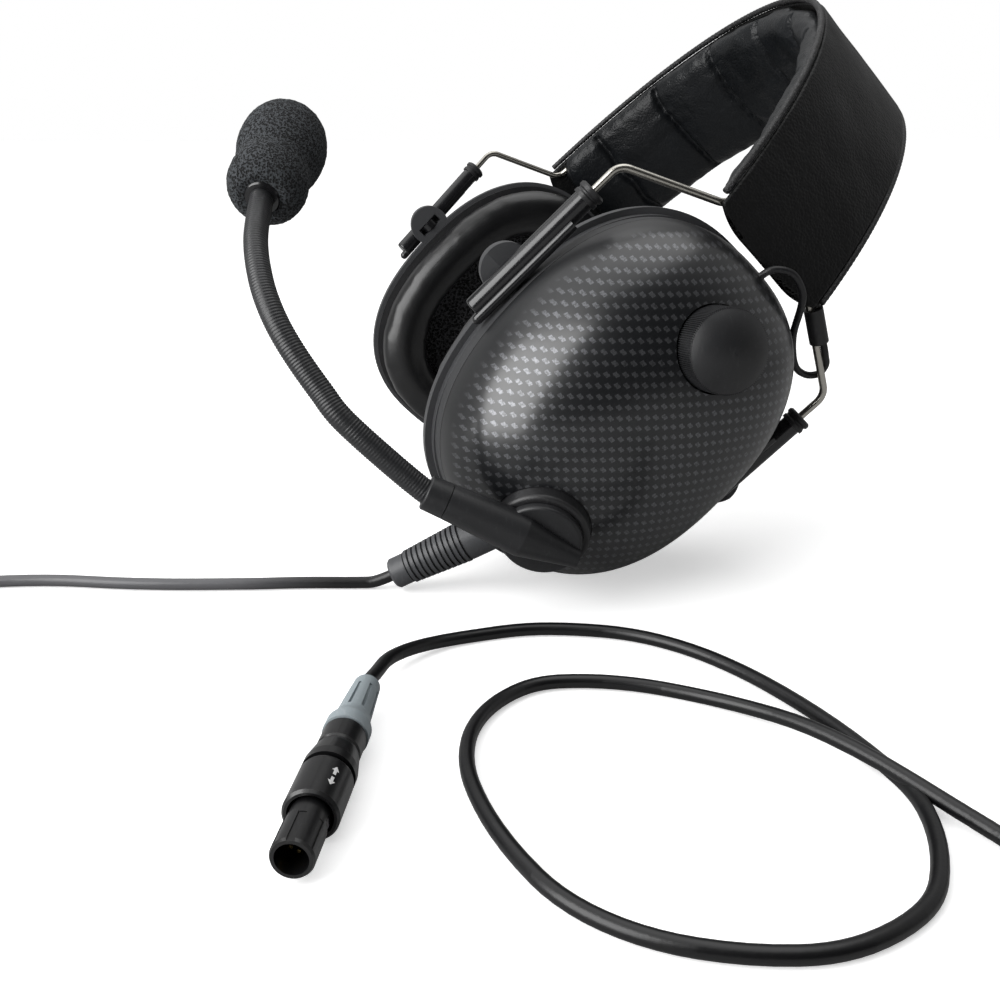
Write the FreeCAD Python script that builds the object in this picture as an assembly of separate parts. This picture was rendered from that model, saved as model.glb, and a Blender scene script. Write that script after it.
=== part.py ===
"""Aviation headset with a boom microphone, a volume knob and a push-pull cord plug.

Two frames are used, both in millimetres and both with their origin midway between the two ear cups.
Head frame: +X is the wearer's left, +Y the wearer's back, +Z up through the crown.
Table frame: the head frame leaned back by LEAN_DEG about X, as the headset lies on a table, with +Z up.
At the end every piece is moved so that the origin is the middle of the footprint, on the table.
"""
import FreeCAD, Part
import math
import os

V = FreeCAD.Vector

# ---------------------------------------------------------------- driving dimensions
LEAN_DEG = 45.0

# ear cup: a domed shell on a flat base ring; X positions are for the left cup
PART_LINE_X = 82.7
DOME_DEPTH = 38.5
DOME_HALF_Y = 41.9
DOME_HALF_Z = 53.2
DOME_PLAN_POWER = 2.39
DOME_RISE_POWER = 2.74
DOME_ROUND_POWER = 1.97
DOME_SHIFT_Y = 1.0
DOME_SHIFT_Z = 1.9
DOME_WALL = 2.2
BASE_X = 74.4
BASE_STEP_X = 78.4
BASE_HALF_Y = 43.4
BASE_HALF_Z = 56.0
BASE_OPEN_Y = 30.5
BASE_OPEN_Z = 42.0
LEDGE_WIDTH = 5.5
LEDGE_X = 78.0
SEAL_PLATE_T = 1.8
SEAL_X = 55.0
SEAL_OPEN_Y = 23.5
SEAL_OPEN_Z = 35.5
SPEAKER_R = 20.0

# pivots between the cups and the wire sleeves
PIVOT_X = 76.6
PIVOT_Y = 46.2
PIVOT_Z = 5.5
PIVOT_PIN_R = 1.2
LUG_R = 7.5
LUG_T = 4.6
LUG_BEVEL_DEG = 20.0
TONGUE_T = 2.8
RUNNING_GAP = 0.06

# wire sleeves
SLEEVE_TOP_X = 87.6
SLEEVE_TOP_Z = 34.8
SLEEVE_SLOPE = 0.146
SLEEVE_LENGTH = 44.3
SLEEVE_R = 3.1
WIRE_R = 1.1
WIRE_GAP = 0.07
WIRE_BEND_RISE = 10.3
WIRE_BEND_R = 5.0
WIRE_INSERTED = 31.0

# headband: an elliptical arch, offsets are measured inwards from its outer face
ARCH_HALF_X = 103.0
ARCH_BASE_Z = 15.0
ARCH_RISE = 127.0
BAND_HALF_Y = 21.5
BAND_END_Z = 58.6
BAND_TONGUE = 4.6
TONGUE_FLAT_Y = 9.0
PAD_END_Z = 60.5
PAD_TONGUE = 3.0
COVER_T = 1.8
CORE_T = 3.0
BAND_T = 13.0
WIRE_DEPTH = 3.3
WIRE_BAND_Y = 17.6
WIRE_ENTRY_Z = 64.0
WIRE_CORNER_DROP = 5.5
PIPING_R = 1.1
ARCH_STRETCHES = 8

# crossover cable
CABLE_R = 1.05
CABLE_BAND_Y = 14.0
CABLE_EXIT = V(99.5, 1.0, 51.0)
LOOP_PATH = (
    V(100.6, 2.1, 55.1),
    V(101.2, 6.5, 57.7),
    V(100.2, 12.5, 56.9),
    V(98.8, 16.2, 54.3),
    V(92.0, 24.0, 48.8),
    V(89.5, 31.8, 44.4),
    V(87.6, 37.5, 45.0),
    V(87.8, 40.4, 48.0),
    V(89.0, 39.4, 51.0),
)
TUBE_R = 2.75
TUBE_FROM = 0.53
TUBE_TO = 0.86
PAIR_GAP = 1.2

# volume knob
KNOB_AT = V(113.5, -1.0, 26.3)
KNOB_TILT_DEG = 7.0
KNOB_R = 11.2
KNOB_POCKET_R = 11.7
KNOB_SKIRT = 11.2
KNOB_CROWN = 3.6
KNOB_TEETH = 120
SHAFT_R = 2.0
BUSH_R = 3.4
BOARD_SIZE = 40.0
BOARD_DROP = 9.0

# boom mount, boom and microphone
BOOM_AT = V(114.8, 1.6, -40.0)
BOOM_TILT_DEG = 28.0
BOOM_AIM = V(110.4, -28.2, -51.2)
MOUNT_R = 13.0
MOUNT_DEPTH = 7.0
HOLDER_R = 11.2
HOLDER_REACH = 33.0
HOLDER_WAIST = 5.0
AXLE_R = 3.0
BOOM_R = 3.3
BOOM_BALL_R = 2.5
BOOM_PATH = (
    V(107.0, -54.8, -52.8),
    V(103.0, -65.8, -51.4),
    V(98.0, -77.7, -48.9),
    V(93.0, -86.4, -46.0),
    V(86.0, -93.8, -42.0),
    V(76.0, -100.7, -36.0),
    V(64.0, -105.9, -27.8),
)
FLEX_INDEX = 2
FLEX_GAP = 1.3
MIC_AXIS = V(-0.84, -0.16, 0.52)
FOAM_LENGTH = 47.5
FOAM_NEAR_R = 11.9
FOAM_FAR_R = 14.0

# cord and plug
CORD_R = 1.7
RELIEF_AT = V(92.0, -3.7, -56.0)
RELIEF_AIM = V(86.5, -10.9, -79.3)
RELIEF_LENGTH = 25.0
RELIEF_RIBS = 11
CORD_PATH = (
    (80.9, -90.0), (78.6, -106.0), (74.0, -130.0), (63.0, -172.0), (66.0, -205.0),
    (100.0, -226.0), (180.0, -224.0), (250.0, -205.0), (286.0, -160.0), (292.0, -80.0),
    (293.0, 0.0), (283.0, 30.0), (258.0, 40.0), (233.0, 32.5), (195.0, 17.0), (172.0, 2.0),
    (157.5, -22.0), (157.5, -42.0), (178.0, -58.0), (211.0, -58.5), (240.0, -46.0),
    (254.0, -18.0), (249.0, 6.0), (232.0, 20.0), (210.0, 25.0), (166.0, 15.5), (138.0, -2.0),
    (126.0, -27.0), (127.0, -52.0), (137.0, -68.5),
)
CORD_CROSSING = (210.5, 25.0)
CROSSING_REACH = 26.0
PLUG_AT = (156.0, -77.6)
PLUG_HEADING = (0.957, -0.288)
PLUG_R = 5.6
PLUG_SEAM = 38.3
PLUG_TRAVEL = 1.2
NOSE_R = 4.2
NOSE_FROM = 56.2
NOSE_LENGTH = 8.4

# the pieces that reach the edges of the whole headset's box
OUTERMOST = ("right_cup_shell", "left_cup_base", "band_cover", "band_piping", "cord")


# ---------------------------------------------------------------- small helpers
def lean(point):
    """A head-frame point in the table frame."""
    a = math.radians(LEAN_DEG)
    y = point.y * math.cos(a) + point.z * math.sin(a)
    z = point.z * math.cos(a) - point.y * math.sin(a)
    return V(point.x, y, z)


def unit(vector):
    return V(vector).normalize()


def placed(shape, origin, axis, across=None):
    """A shape drawn along +Z from the origin, moved so that +Z is axis and +X leans towards across."""
    z = unit(axis)
    hint = V(across) if across else (V(0, 1, 0) if abs(z.y) < 0.9 else V(1, 0, 0))
    y = z.cross(hint).normalize()
    x = y.cross(z)
    matrix = FreeCAD.Matrix(x.x, y.x, z.x, origin.x,
                            x.y, y.y, z.y, origin.y,
                            x.z, y.z, z.z, origin.z,
                            0, 0, 0, 1)
    moved = shape.copy()
    moved.Placement = FreeCAD.Placement(matrix).multiply(moved.Placement)
    return moved


def disc(r, z0, z1):
    return Part.makeCylinder(r, z1 - z0, V(0, 0, z0))


def spun(outline):
    """A solid of revolution about Z from (radius, height) points."""
    points = [V(r, 0, z) for r, z in outline]
    face = Part.Face(Part.makePolygon(points + points[:1]))
    return face.revolve(V(0, 0, 0), V(0, 0, 1), 360)


def softened(shape, size, pick):
    """shape with a fillet on the edges that pick() accepts."""
    edges = [e for e in shape.Edges if pick(e)]
    return shape.makeFillet(size, edges)


def round_edge_at(z):
    """Accepts circular edges that lie flat at height z."""
    def pick(edge):
        box = edge.BoundBox
        return abs(box.ZMin - z) < 1e-4 and abs(box.ZMax - z) < 1e-4 and edge.Closed
    return pick


def rounded_corner(before, corner, after, radius):
    """The arc that rounds a corner, with its two end points."""
    u = unit(before - corner)
    w = unit(after - corner)
    half = u.getAngle(w) / 2
    reach = radius / math.tan(half)
    middle = unit(u + w)
    start = corner + u * reach
    end = corner + w * reach
    nearest = corner + middle * (radius / math.sin(half) - radius)
    return Part.Arc(start, nearest, end).toShape(), start, end


def swept(edges, radius):
    """A round bar along a smooth chain of edges."""
    path = Part.Wire(Part.__sortEdges__(edges))
    first = path.OrderedEdges[0]
    start = first.valueAt(first.FirstParameter)
    heading = first.tangentAt(first.FirstParameter)
    ring = Part.Wire(Part.Circle(start, heading, radius).toShape())
    return path.makePipeShell([ring], True, False)


def bulged_arc(start, heading, end):
    """The arc (or line) from start to end that leaves start along heading."""
    chord = end - start
    along_chord = unit(chord)
    off = heading - along_chord * heading.dot(along_chord)
    if off.Length < 1e-4:
        return Part.makeLine(start, end)
    angle = heading.getAngle(along_chord)
    rise = chord.Length / 2 * math.tan(angle / 2)
    return Part.Arc(start, (start + end) * 0.5 + unit(off) * rise, end).toShape()


def arc_pair(start, heading, end, end_heading):
    """Two arcs that join smoothly between two points with given headings."""
    chord = end - start
    both = heading + end_heading
    spread = 2 * (1 - heading.dot(end_heading))
    if spread < 1e-6:
        reach = chord.dot(chord) / (4 * chord.dot(end_heading))
    else:
        push = chord.dot(both)
        reach = (-push + math.sqrt(push ** 2 + spread * chord.dot(chord))) / spread
    joint = (start + heading * reach + end - end_heading * reach) * 0.5
    second = bulged_arc(end, end_heading * -1, joint)
    return [bulged_arc(start, heading, joint), second]


def arc_chain(points, first_heading=None, last_heading=None):
    """A smooth chain of arcs through points."""
    headings = [unit(points[i + 1] - points[i - 1]) for i in range(1, len(points) - 1)]
    headings.insert(0, unit(first_heading or points[1] - points[0]))
    headings.append(unit(last_heading or points[-1] - points[-2]))
    edges = []
    for i in range(len(points) - 1):
        edges += arc_pair(points[i], headings[i], points[i + 1], headings[i + 1])
    return edges


def mirrored(shape):
    return shape.mirror(V(0, 0, 0), V(1, 0, 0))


# ---------------------------------------------------------------- ear cups (left side)
def cup_outline(x, half_y, half_z, centre_y=0.0, centre_z=0.0):
    """A closed rounded outline in the plane at x."""
    points = []
    for i in range(48):
        a = 2 * math.pi * i / 48
        c, s = math.cos(a), math.sin(a)
        power = DOME_PLAN_POWER
        r = (abs(c / half_y) ** power + abs(s / half_z) ** power) ** (-1 / power)
        points.append(V(x, centre_y + r * c, centre_z + r * s))
    curve = Part.BSplineCurve()
    curve.interpolate(points, PeriodicFlag=True)
    return Part.Wire(curve.toShape())


def cup_slab(x0, x1, half_y, half_z):
    return Part.Face(cup_outline(x0, half_y, half_z)).extrude(V(x1 - x0, 0, 0))


def dome_solid(inset):
    """The domed volume inside the outer face, inset from it all round."""
    depth = DOME_DEPTH - inset
    sections = []
    steps = 11
    for i in range(steps):
        width = math.cos(math.pi / 2 * 0.955 * i / (steps - 1))
        rise = (1 - width ** DOME_ROUND_POWER) ** (1 / DOME_RISE_POWER)
        sections.append(cup_outline(PART_LINE_X + depth * rise, (DOME_HALF_Y - inset) * width,
                                    (DOME_HALF_Z - inset) * width, DOME_SHIFT_Y * rise, DOME_SHIFT_Z * rise))
    return Part.makeLoft(sections, True, False)


def pocket(shell, outer, origin, axis, radius, depth):
    """shell with a round flat-floored pocket sunk into it, its floor depth below origin."""
    hole = placed(disc(radius, -depth, 40), origin, axis)
    cup = placed(disc(radius + 2, -depth - 2, 40), origin, axis)
    return shell.cut(hole).fuse(cup.common(outer).cut(hole)).removeSplitter()


def knob_axis():
    a = math.radians(KNOB_TILT_DEG)
    return V(math.cos(a), 0, math.sin(a))


def boom_axis():
    a = math.radians(BOOM_TILT_DEG)
    return V(math.cos(a), 0, -math.sin(a))


def boom_heading():
    to_tip = BOOM_AIM - BOOM_AT
    axis = boom_axis()
    return unit(to_tip - axis * to_tip.dot(axis))


def relief_axis():
    return unit(RELIEF_AIM - RELIEF_AT)


def plain_shell():
    """The dome shell that both cups share, with its cable hole at the top."""
    outer = dome_solid(0)
    shell = outer.cut(dome_solid(DOME_WALL))
    cable_hole = Part.makeCylinder(CABLE_R + 0.5, 8, CABLE_EXIT - V(0, 0, 4), V(0, 0, 1))
    return shell.cut(cable_hole), outer


def left_shell():
    shell, outer = plain_shell()
    shell = pocket(shell, outer, KNOB_AT, knob_axis(), KNOB_POCKET_R, 0)
    shell = pocket(shell, outer, BOOM_AT, boom_axis(), MOUNT_R + 0.15, MOUNT_DEPTH + 0.1)
    bush_hole = placed(disc(BUSH_R + 0.1, -10, 1), KNOB_AT, knob_axis())
    axle_hole = placed(disc(AXLE_R + 0.4, -14, 0), BOOM_AT, boom_axis())
    relief_hole = placed(disc(5.85, -14, 4), RELIEF_AT, relief_axis())
    return shell.cut(bush_hole).cut(axle_hole).cut(relief_hole)


def pivot_lug(side):
    """A round tab on the cup's edge with a slot for the sleeve's tongue; side is -1 front, +1 rear."""
    tab = Part.makeCylinder(LUG_R, LUG_T, V(BASE_X, side * PIVOT_Y, PIVOT_Z), V(1, 0, 0))
    slot_half = TONGUE_T / 2 + 0.3
    slot = Part.makeBox(LUG_T + 2, 2 * slot_half, 9.2,
                        V(BASE_X - 1, side * PIVOT_Y - slot_half, PIVOT_Z - 4.6))
    bevel = Part.makeBox(6, 20, 12, V(0, side * PIVOT_Y - 10, -12))
    bevel.rotate(V(0, 0, 0), V(0, 1, 0), LUG_BEVEL_DEG)
    bevel.translate(V(BASE_X + LUG_T, 0, PIVOT_Z - 1.0))
    return tab.cut(slot).cut(bevel)


def pivot_pin(side):
    start = V(PIVOT_X, side * (PIVOT_Y - 6.0), PIVOT_Z)
    return Part.makeCylinder(PIVOT_PIN_R, 12.6, start, V(0, side, 0))


def screw_spots():
    """Where the speaker plate is screwed to the ledge."""
    spots = []
    for y_sign, z_sign in ((1, 1), (1, -1), (-1, 1), (-1, -1)):
        spots.append(V(LEDGE_X, y_sign * 25.2, z_sign * 33.6))
    return spots


def cup_base():
    lip = cup_slab(BASE_X, BASE_STEP_X, BASE_HALF_Y, BASE_HALF_Z)
    seat = cup_slab(BASE_STEP_X, PART_LINE_X, BASE_HALF_Y - 1.6, BASE_HALF_Z - 2.0)
    base = lip.fuse(seat)
    for side in (-1, 1):
        base = base.fuse(pivot_lug(side))
    base = base.cut(cup_slab(BASE_X - 3, LEDGE_X, BASE_OPEN_Y, BASE_OPEN_Z))
    base = base.cut(cup_slab(LEDGE_X, PART_LINE_X + 1, BASE_OPEN_Y + LEDGE_WIDTH, BASE_OPEN_Z + LEDGE_WIDTH))
    for side in (-1, 1):
        base = base.cut(pivot_pin(side))
    for spot in screw_spots():
        base = base.cut(Part.makeCylinder(0.95, 2.6, spot - V(2.6, 0, 0), V(1, 0, 0)))
    return base.removeSplitter()


def seal_plate():
    plate = cup_slab(BASE_X - SEAL_PLATE_T, BASE_X, BASE_HALF_Y - 1.4, BASE_HALF_Z - 1.4)
    return plate.cut(cup_slab(BASE_X - 3, BASE_X + 1, BASE_OPEN_Y - 2, BASE_OPEN_Z - 2))


def ear_seal():
    """The padded ring that seals round the ear, as a plain closed solid."""
    back = BASE_X - SEAL_PLATE_T
    thickness = back - SEAL_X
    sections = []
    for place, width in ((0.0, 0.93), (0.22, 0.985), (0.6, 1.0), (1.0, 0.965)):
        x = SEAL_X + thickness * place
        sections.append(cup_outline(x, (BASE_HALF_Y - 1.0) * width, (BASE_HALF_Z - 1.0) * width))
    ring = Part.makeLoft(sections, True, False)
    return ring.cut(cup_slab(SEAL_X - 2, back + 2, SEAL_OPEN_Y, SEAL_OPEN_Z))


def speaker_plate():
    plate = cup_slab(LEDGE_X, LEDGE_X + 2.2, BASE_OPEN_Y + LEDGE_WIDTH - 0.3, BASE_OPEN_Z + LEDGE_WIDTH - 0.3)
    plate = plate.cut(Part.makeCylinder(SPEAKER_R - 2, 6, V(LEDGE_X - 2, 0, 0), V(1, 0, 0)))
    for spot in screw_spots():
        plate = plate.cut(Part.makeCylinder(1.1, 6, spot - V(2, 0, 0), V(1, 0, 0)))
    return plate


def speaker():
    back = LEDGE_X + 2.2
    outline = ((0, back - 1.6), (6, back - 1.9), (SPEAKER_R - 3, back - 1.2), (SPEAKER_R - 2.3, back),
               (SPEAKER_R, back), (SPEAKER_R, back + 1.6), (15, back + 2.6), (11, back + 3.2),
               (11, back + 8.5), (0, back + 8.5))
    return placed(spun(outline), V(0, 0, 0), V(1, 0, 0))


def plate_screws():
    screws = []
    for spot in screw_spots():
        head = spot + V(2.2, 0, 0)
        shank = Part.makeCylinder(0.95, 4.6, head - V(4.6, 0, 0), V(1, 0, 0))
        dome = Part.makeCylinder(2.0, 1.4, head, V(1, 0, 0))
        drive = Part.makeBox(1.0, 0.5, 2.6, V(head.x + 0.8, spot.y - 0.25, spot.z - 1.3))
        screws.append(shank.fuse(dome).cut(drive))
    return Part.makeCompound(screws)


def foam_liner():
    return cup_slab(BASE_X + 0.8, LEDGE_X - 0.4, BASE_OPEN_Y - 0.5, BASE_OPEN_Z - 0.5)


def damping_foam():
    foam = cup_slab(92.0, 98.0, 34.0, 43.0)
    return foam.cut(Part.makeCylinder(7.0, 8, V(91, 0, -43), V(1, 0, 0)))


def pivot_pins():
    return Part.makeCompound([pivot_pin(-1), pivot_pin(1)])


# ---------------------------------------------------------------- volume control
def volume_knob():
    points = []
    for i in range(KNOB_TEETH):
        for part, r in ((0.0, KNOB_R), (0.35, KNOB_R), (0.5, KNOB_R - 0.45), (0.85, KNOB_R - 0.45)):
            a = 2 * math.pi * (i + part) / KNOB_TEETH
            points.append(V(r * math.cos(a), r * math.sin(a), 0.4))
    skirt = Part.Face(Part.makePolygon(points + points[:1])).extrude(V(0, 0, KNOB_SKIRT - 0.4))
    skirt = skirt.common(spun(((0, 0), (KNOB_R + 1, 0), (KNOB_R + 1, KNOB_SKIRT - 1.0),
                               (KNOB_R - 0.5, KNOB_SKIRT), (0, KNOB_SKIRT))))
    rim = KNOB_R - 0.5
    ball_r = (rim ** 2 + KNOB_CROWN ** 2) / (2 * KNOB_CROWN)
    ball = Part.makeSphere(ball_r, V(0, 0, KNOB_SKIRT + KNOB_CROWN - ball_r))
    crown = ball.common(disc(KNOB_R, KNOB_SKIRT, KNOB_SKIRT + KNOB_CROWN + 1))
    knob = skirt.fuse(crown).cut(disc(7.5, 0, 5.0)).cut(disc(SHAFT_R, 0, 10.0))
    return placed(knob.removeSplitter(), KNOB_AT, knob_axis())


def pot_shaft():
    return placed(disc(SHAFT_R, -6.0, 9.8), KNOB_AT, knob_axis())


def volume_pot():
    body = Part.makeBox(16, 16, 7, V(-8, -8, -9.3))
    bush = disc(BUSH_R, -2.4, 4.4)
    pot = body.fuse(bush).cut(disc(SHAFT_R + RUNNING_GAP, -6.2, 6))
    return placed(pot, KNOB_AT, knob_axis())


def pot_nut():
    corners = []
    for i in range(7):
        a = math.pi / 3 * i
        corners.append(V(6.0 * math.cos(a), 6.0 * math.sin(a), 0.1))
    hexagon = Part.Face(Part.makePolygon(corners)).extrude(V(0, 0, 2.0))
    return placed(hexagon.cut(disc(BUSH_R, -1, 4)), KNOB_AT, knob_axis())


def circuit_board():
    """The board behind the control, with two connector blocks on its back."""
    board = Part.makeBox(BOARD_SIZE, BOARD_SIZE, 1.6, V(-BOARD_SIZE / 2, -BOARD_SIZE / 2, -10.95))
    for y in (-12, 4):
        board = board.fuse(Part.makeBox(6, 8, 3.0, V(8, y, -13.95)))
    return placed(board, KNOB_AT - V(0, 0, BOARD_DROP), knob_axis())


# ---------------------------------------------------------------- boom and microphone
def boom_place(shape):
    return placed(shape, BOOM_AT, boom_axis(), boom_heading())


def boom_mount():
    ring = disc(MOUNT_R, -MOUNT_DEPTH, -0.3)
    ring = softened(ring, 1.2, round_edge_at(-0.3))
    return boom_place(ring.cut(disc(AXLE_R + RUNNING_GAP, -9, 1)))


def boom_holder():
    """The swivelling disc with the conical socket that grips the boom."""
    cap = softened(disc(HOLDER_R, 0, 2.2), 0.9, round_edge_at(2.2))
    wedge = Part.makeCone(2.6, 6.1, HOLDER_R + HOLDER_WAIST, V(-HOLDER_R, 0, 2.3), V(1, 0, 0))
    bar = Part.makeCone(6.1, 4.9, HOLDER_REACH - 6.2 - HOLDER_WAIST, V(HOLDER_WAIST, 0, 2.3), V(1, 0, 0))
    bar = bar.fuse(wedge)
    over_mount = disc(MOUNT_R + 0.6, -12, 0)
    behind = Part.makeBox(40, 40, 40, V(-40, -20, -20)).cut(disc(HOLDER_R, -20, 20))
    holder = cap.fuse(bar.cut(over_mount).cut(behind)).removeSplitter()
    bore = Part.makeCylinder(BOOM_R + 0.05, 15, V(19.5, 0, 2.3), V(1, 0, 0))
    return boom_place(holder.cut(bore).cut(disc(AXLE_R, -1, 1.2)))


def boom_end_ring():
    ring = Part.makeCone(4.9, 4.7, 6.0, V(HOLDER_REACH - 6.0, 0, 2.3), V(1, 0, 0))
    ring = softened(ring, 0.6, lambda e: abs(e.BoundBox.XMin - HOLDER_REACH) < 1e-4)
    return boom_place(ring.cut(Part.makeCylinder(BOOM_R + 0.05, 9, V(HOLDER_REACH - 8, 0, 2.3), V(1, 0, 0))))


def boom_axle():
    """The shoulder screw that the holder turns with, put in from inside the cup."""
    head = disc(5.6, -11.6, -9.6).cut(Part.makeBox(12, 1.2, 0.9, V(-6, -0.6, -11.7)))
    return boom_place(disc(AXLE_R, -9.6, 1.2).fuse(head))


def boom_line():
    """Points on the boom's centre line: from inside the holder to the flex point, and on to the microphone."""
    lift = BOOM_AT + boom_axis() * 2.3
    socket = [lift + boom_heading() * reach for reach in (20.0, HOLDER_REACH + 0.5, HOLDER_REACH + 4.0)]
    return socket + list(BOOM_PATH[:FLEX_INDEX + 1]), list(BOOM_PATH[FLEX_INDEX:])


def flex_heading():
    return unit(BOOM_PATH[FLEX_INDEX + 1] - BOOM_PATH[FLEX_INDEX - 1])


def boom_lower():
    """The fixed half of the gooseneck, ending in a ball seat."""
    points, _ = boom_line()
    points[-1] = points[-1] - flex_heading() * (FLEX_GAP / 2)
    bar = swept(arc_chain(points, last_heading=flex_heading()), BOOM_R)
    seat = Part.makeSphere(BOOM_BALL_R + RUNNING_GAP, BOOM_PATH[FLEX_INDEX] - flex_heading() * 2.0)
    return bar.cut(seat)


def boom_upper():
    """The bending half of the gooseneck, with the ball that it turns on."""
    _, points = boom_line()
    points[0] = points[0] + flex_heading() * (FLEX_GAP / 2)
    bar = swept(arc_chain(points, flex_heading(), unit(MIC_AXIS)), BOOM_R)
    centre = BOOM_PATH[FLEX_INDEX] - flex_heading() * 2.0
    ball = Part.makeSphere(BOOM_BALL_R, centre)
    neck = Part.makeCylinder(1.2, 2.0 + FLEX_GAP, centre, flex_heading())
    return bar.fuse(ball).fuse(neck).removeSplitter()


def mic_place(shape):
    return placed(shape, BOOM_PATH[-1], MIC_AXIS)


def mic_neck():
    outline = ((0, 0.1), (4.6, 0.1), (5.6, 1.4), (5.6, 4.0), (4.9, 4.0), (4.9, 2.4), (0, 2.4))
    return mic_place(spun(outline))


def mic_capsule():
    outline = ((0, 2.5), (4.8, 2.5), (4.8, 14.0), (4.2, 15.0), (0, 15.0))
    return mic_place(spun(outline))


def windscreen():
    """The foam ball over the microphone: a near lobe, a crease and a larger far lobe."""
    points = [V(6.6, 0, 0.6), V(9.6, 0, 2.0), V(FOAM_NEAR_R, 0, 9.5), V(11.3, 0, 16.5),
              V(13.2, 0, 22.0), V(FOAM_FAR_R, 0, 31.0), V(11.6, 0, 40.0), V(6.0, 0, 45.9)]
    curve = Part.BSplineCurve()
    curve.interpolate(points + [V(0, 0, FOAM_LENGTH)])
    side = curve.toShape()
    floor = Part.makePolygon([V(0, 0, FOAM_LENGTH), V(0, 0, 17.0), V(5.0, 0, 17.0), V(5.9, 0, 0.6),
                              V(6.6, 0, 0.6)])
    face = Part.Face(Part.Wire([side] + floor.Edges))
    return mic_place(face.revolve(V(0, 0, 0), V(0, 0, 1), 360))


# ---------------------------------------------------------------- sleeves and pivots (left side)
def sleeve_axis():
    return unit(V(SLEEVE_SLOPE, 0, 1))


def sleeve_top(side):
    return V(SLEEVE_TOP_X, side * PIVOT_Y, SLEEVE_TOP_Z)


def wire_sleeve(side):
    """A tube for the spring wire, with a stiffening rail and the tongue that takes the pivot pin."""
    towards_cup = V(0.78, -0.62 * side, 0)
    body = softened(disc(SLEEVE_R, -SLEEVE_LENGTH, 0), 0.7, round_edge_at(-SLEEVE_LENGTH))
    body = placed(body, sleeve_top(side), sleeve_axis(), V(1, 0, 0))
    offset = towards_cup * 3.55
    rail_low = sleeve_top(side) - sleeve_axis() * (SLEEVE_LENGTH + 1.2) + offset
    rail = Part.makeCylinder(1.5, SLEEVE_LENGTH - 8.0, rail_low, sleeve_axis())
    rail = rail.fuse(Part.makeSphere(1.5, rail_low))
    tongue_x = SLEEVE_TOP_X - SLEEVE_SLOPE * (SLEEVE_TOP_Z - PIVOT_Z)
    eye = Part.makeCylinder(3.0, TONGUE_T, V(PIVOT_X, side * PIVOT_Y - TONGUE_T / 2, PIVOT_Z), V(0, 1, 0))
    arm = Part.makeBox(tongue_x - PIVOT_X, TONGUE_T, 6.0,
                       V(PIVOT_X, side * PIVOT_Y - TONGUE_T / 2, PIVOT_Z - 3.0))
    hole = Part.makeCylinder(PIVOT_PIN_R + RUNNING_GAP, 12, V(PIVOT_X, side * PIVOT_Y - 6, PIVOT_Z), V(0, 1, 0))
    bore = placed(disc(WIRE_R + WIRE_GAP, -SLEEVE_LENGTH + 2.0, 1), sleeve_top(side), sleeve_axis())
    return body.fuse(rail).fuse(eye).fuse(arm).cut(hole).cut(bore).removeSplitter()


def sleeve_collars():
    collars = []
    for side in (-1, 1):
        outline = ((SLEEVE_R, -2.6), (3.7, -2.6), (3.7, -1.5), (3.4, -1.1), (3.4, -0.7), (3.9, -0.3),
                   (3.9, 0.7), (3.3, 1.2), (WIRE_R + WIRE_GAP, 1.2), (WIRE_R + WIRE_GAP, 0.02), (SLEEVE_R, 0.02))
        collars.append(placed(spun(outline), sleeve_top(side), sleeve_axis()))
    return Part.makeCompound(collars)


# ---------------------------------------------------------------- headband
def arch_ellipse(depth, y):
    """The arch's ellipse, depth inside its outer face."""
    return Part.Ellipse(V(0, y, ARCH_BASE_Z + ARCH_RISE - depth), V(ARCH_HALF_X - depth, y, ARCH_BASE_Z),
                        V(0, y, ARCH_BASE_Z))


def arch_angle(depth, z):
    """How far round from the crown the arch comes down to height z."""
    return math.acos((z - ARCH_BASE_Z) / (ARCH_RISE - depth))


def arch_station(depth, y, angle):
    """A point on the arch and its heading towards the wearer's left; angle is measured from the crown."""
    a = ARCH_HALF_X - depth
    b = ARCH_RISE - depth
    point = V(a * math.sin(angle), y, ARCH_BASE_Z + b * math.cos(angle))
    return point, unit(V(a * math.cos(angle), 0, -b * math.sin(angle)))


def arch_edges(depth, y, end_z):
    """The arch from its right end over the top to its left end, as a chain of arcs."""
    end = arch_angle(depth, end_z)
    stations = [arch_station(depth, y, end * (2 * i / ARCH_STRETCHES - 1)) for i in range(ARCH_STRETCHES + 1)]
    edges = []
    for (start, heading), (stop, stop_heading) in zip(stations, stations[1:]):
        edges += arc_pair(start, heading, stop, stop_heading)
    return edges


def arch_slab(depth_out, depth_in, y0, y1):
    outer = Part.Face(Part.Wire(arch_ellipse(depth_out, y0).toShape())).extrude(V(0, y1 - y0, 0))
    inner = Part.Face(Part.Wire(arch_ellipse(depth_in, y0).toShape())).extrude(V(0, y1 - y0, 0))
    return outer.cut(inner)


def tongue_cut(slab, end_z, drop):
    """Keeps the part of the arch above its lower ends, which drop lower in the middle."""
    w = BAND_HALF_Y + 1
    floor_z = end_z - drop
    flat = [V(-130, -TONGUE_FLAT_Y, floor_z), V(-130, TONGUE_FLAT_Y, floor_z)]
    front = bulged_arc(flat[0], V(0, -1, 0), V(-130, -w, end_z))
    rear = bulged_arc(flat[1], V(0, 1, 0), V(-130, w, end_z))
    rest = Part.makePolygon([V(-130, w, end_z), V(-130, w, 160), V(-130, -w, 160), V(-130, -w, end_z)])
    edges = [front, Part.makeLine(flat[0], flat[1]), rear] + rest.Edges
    face = Part.Face(Part.Wire(Part.__sortEdges__(edges)))
    return slab.common(face.extrude(V(260, 0, 0)))


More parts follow.
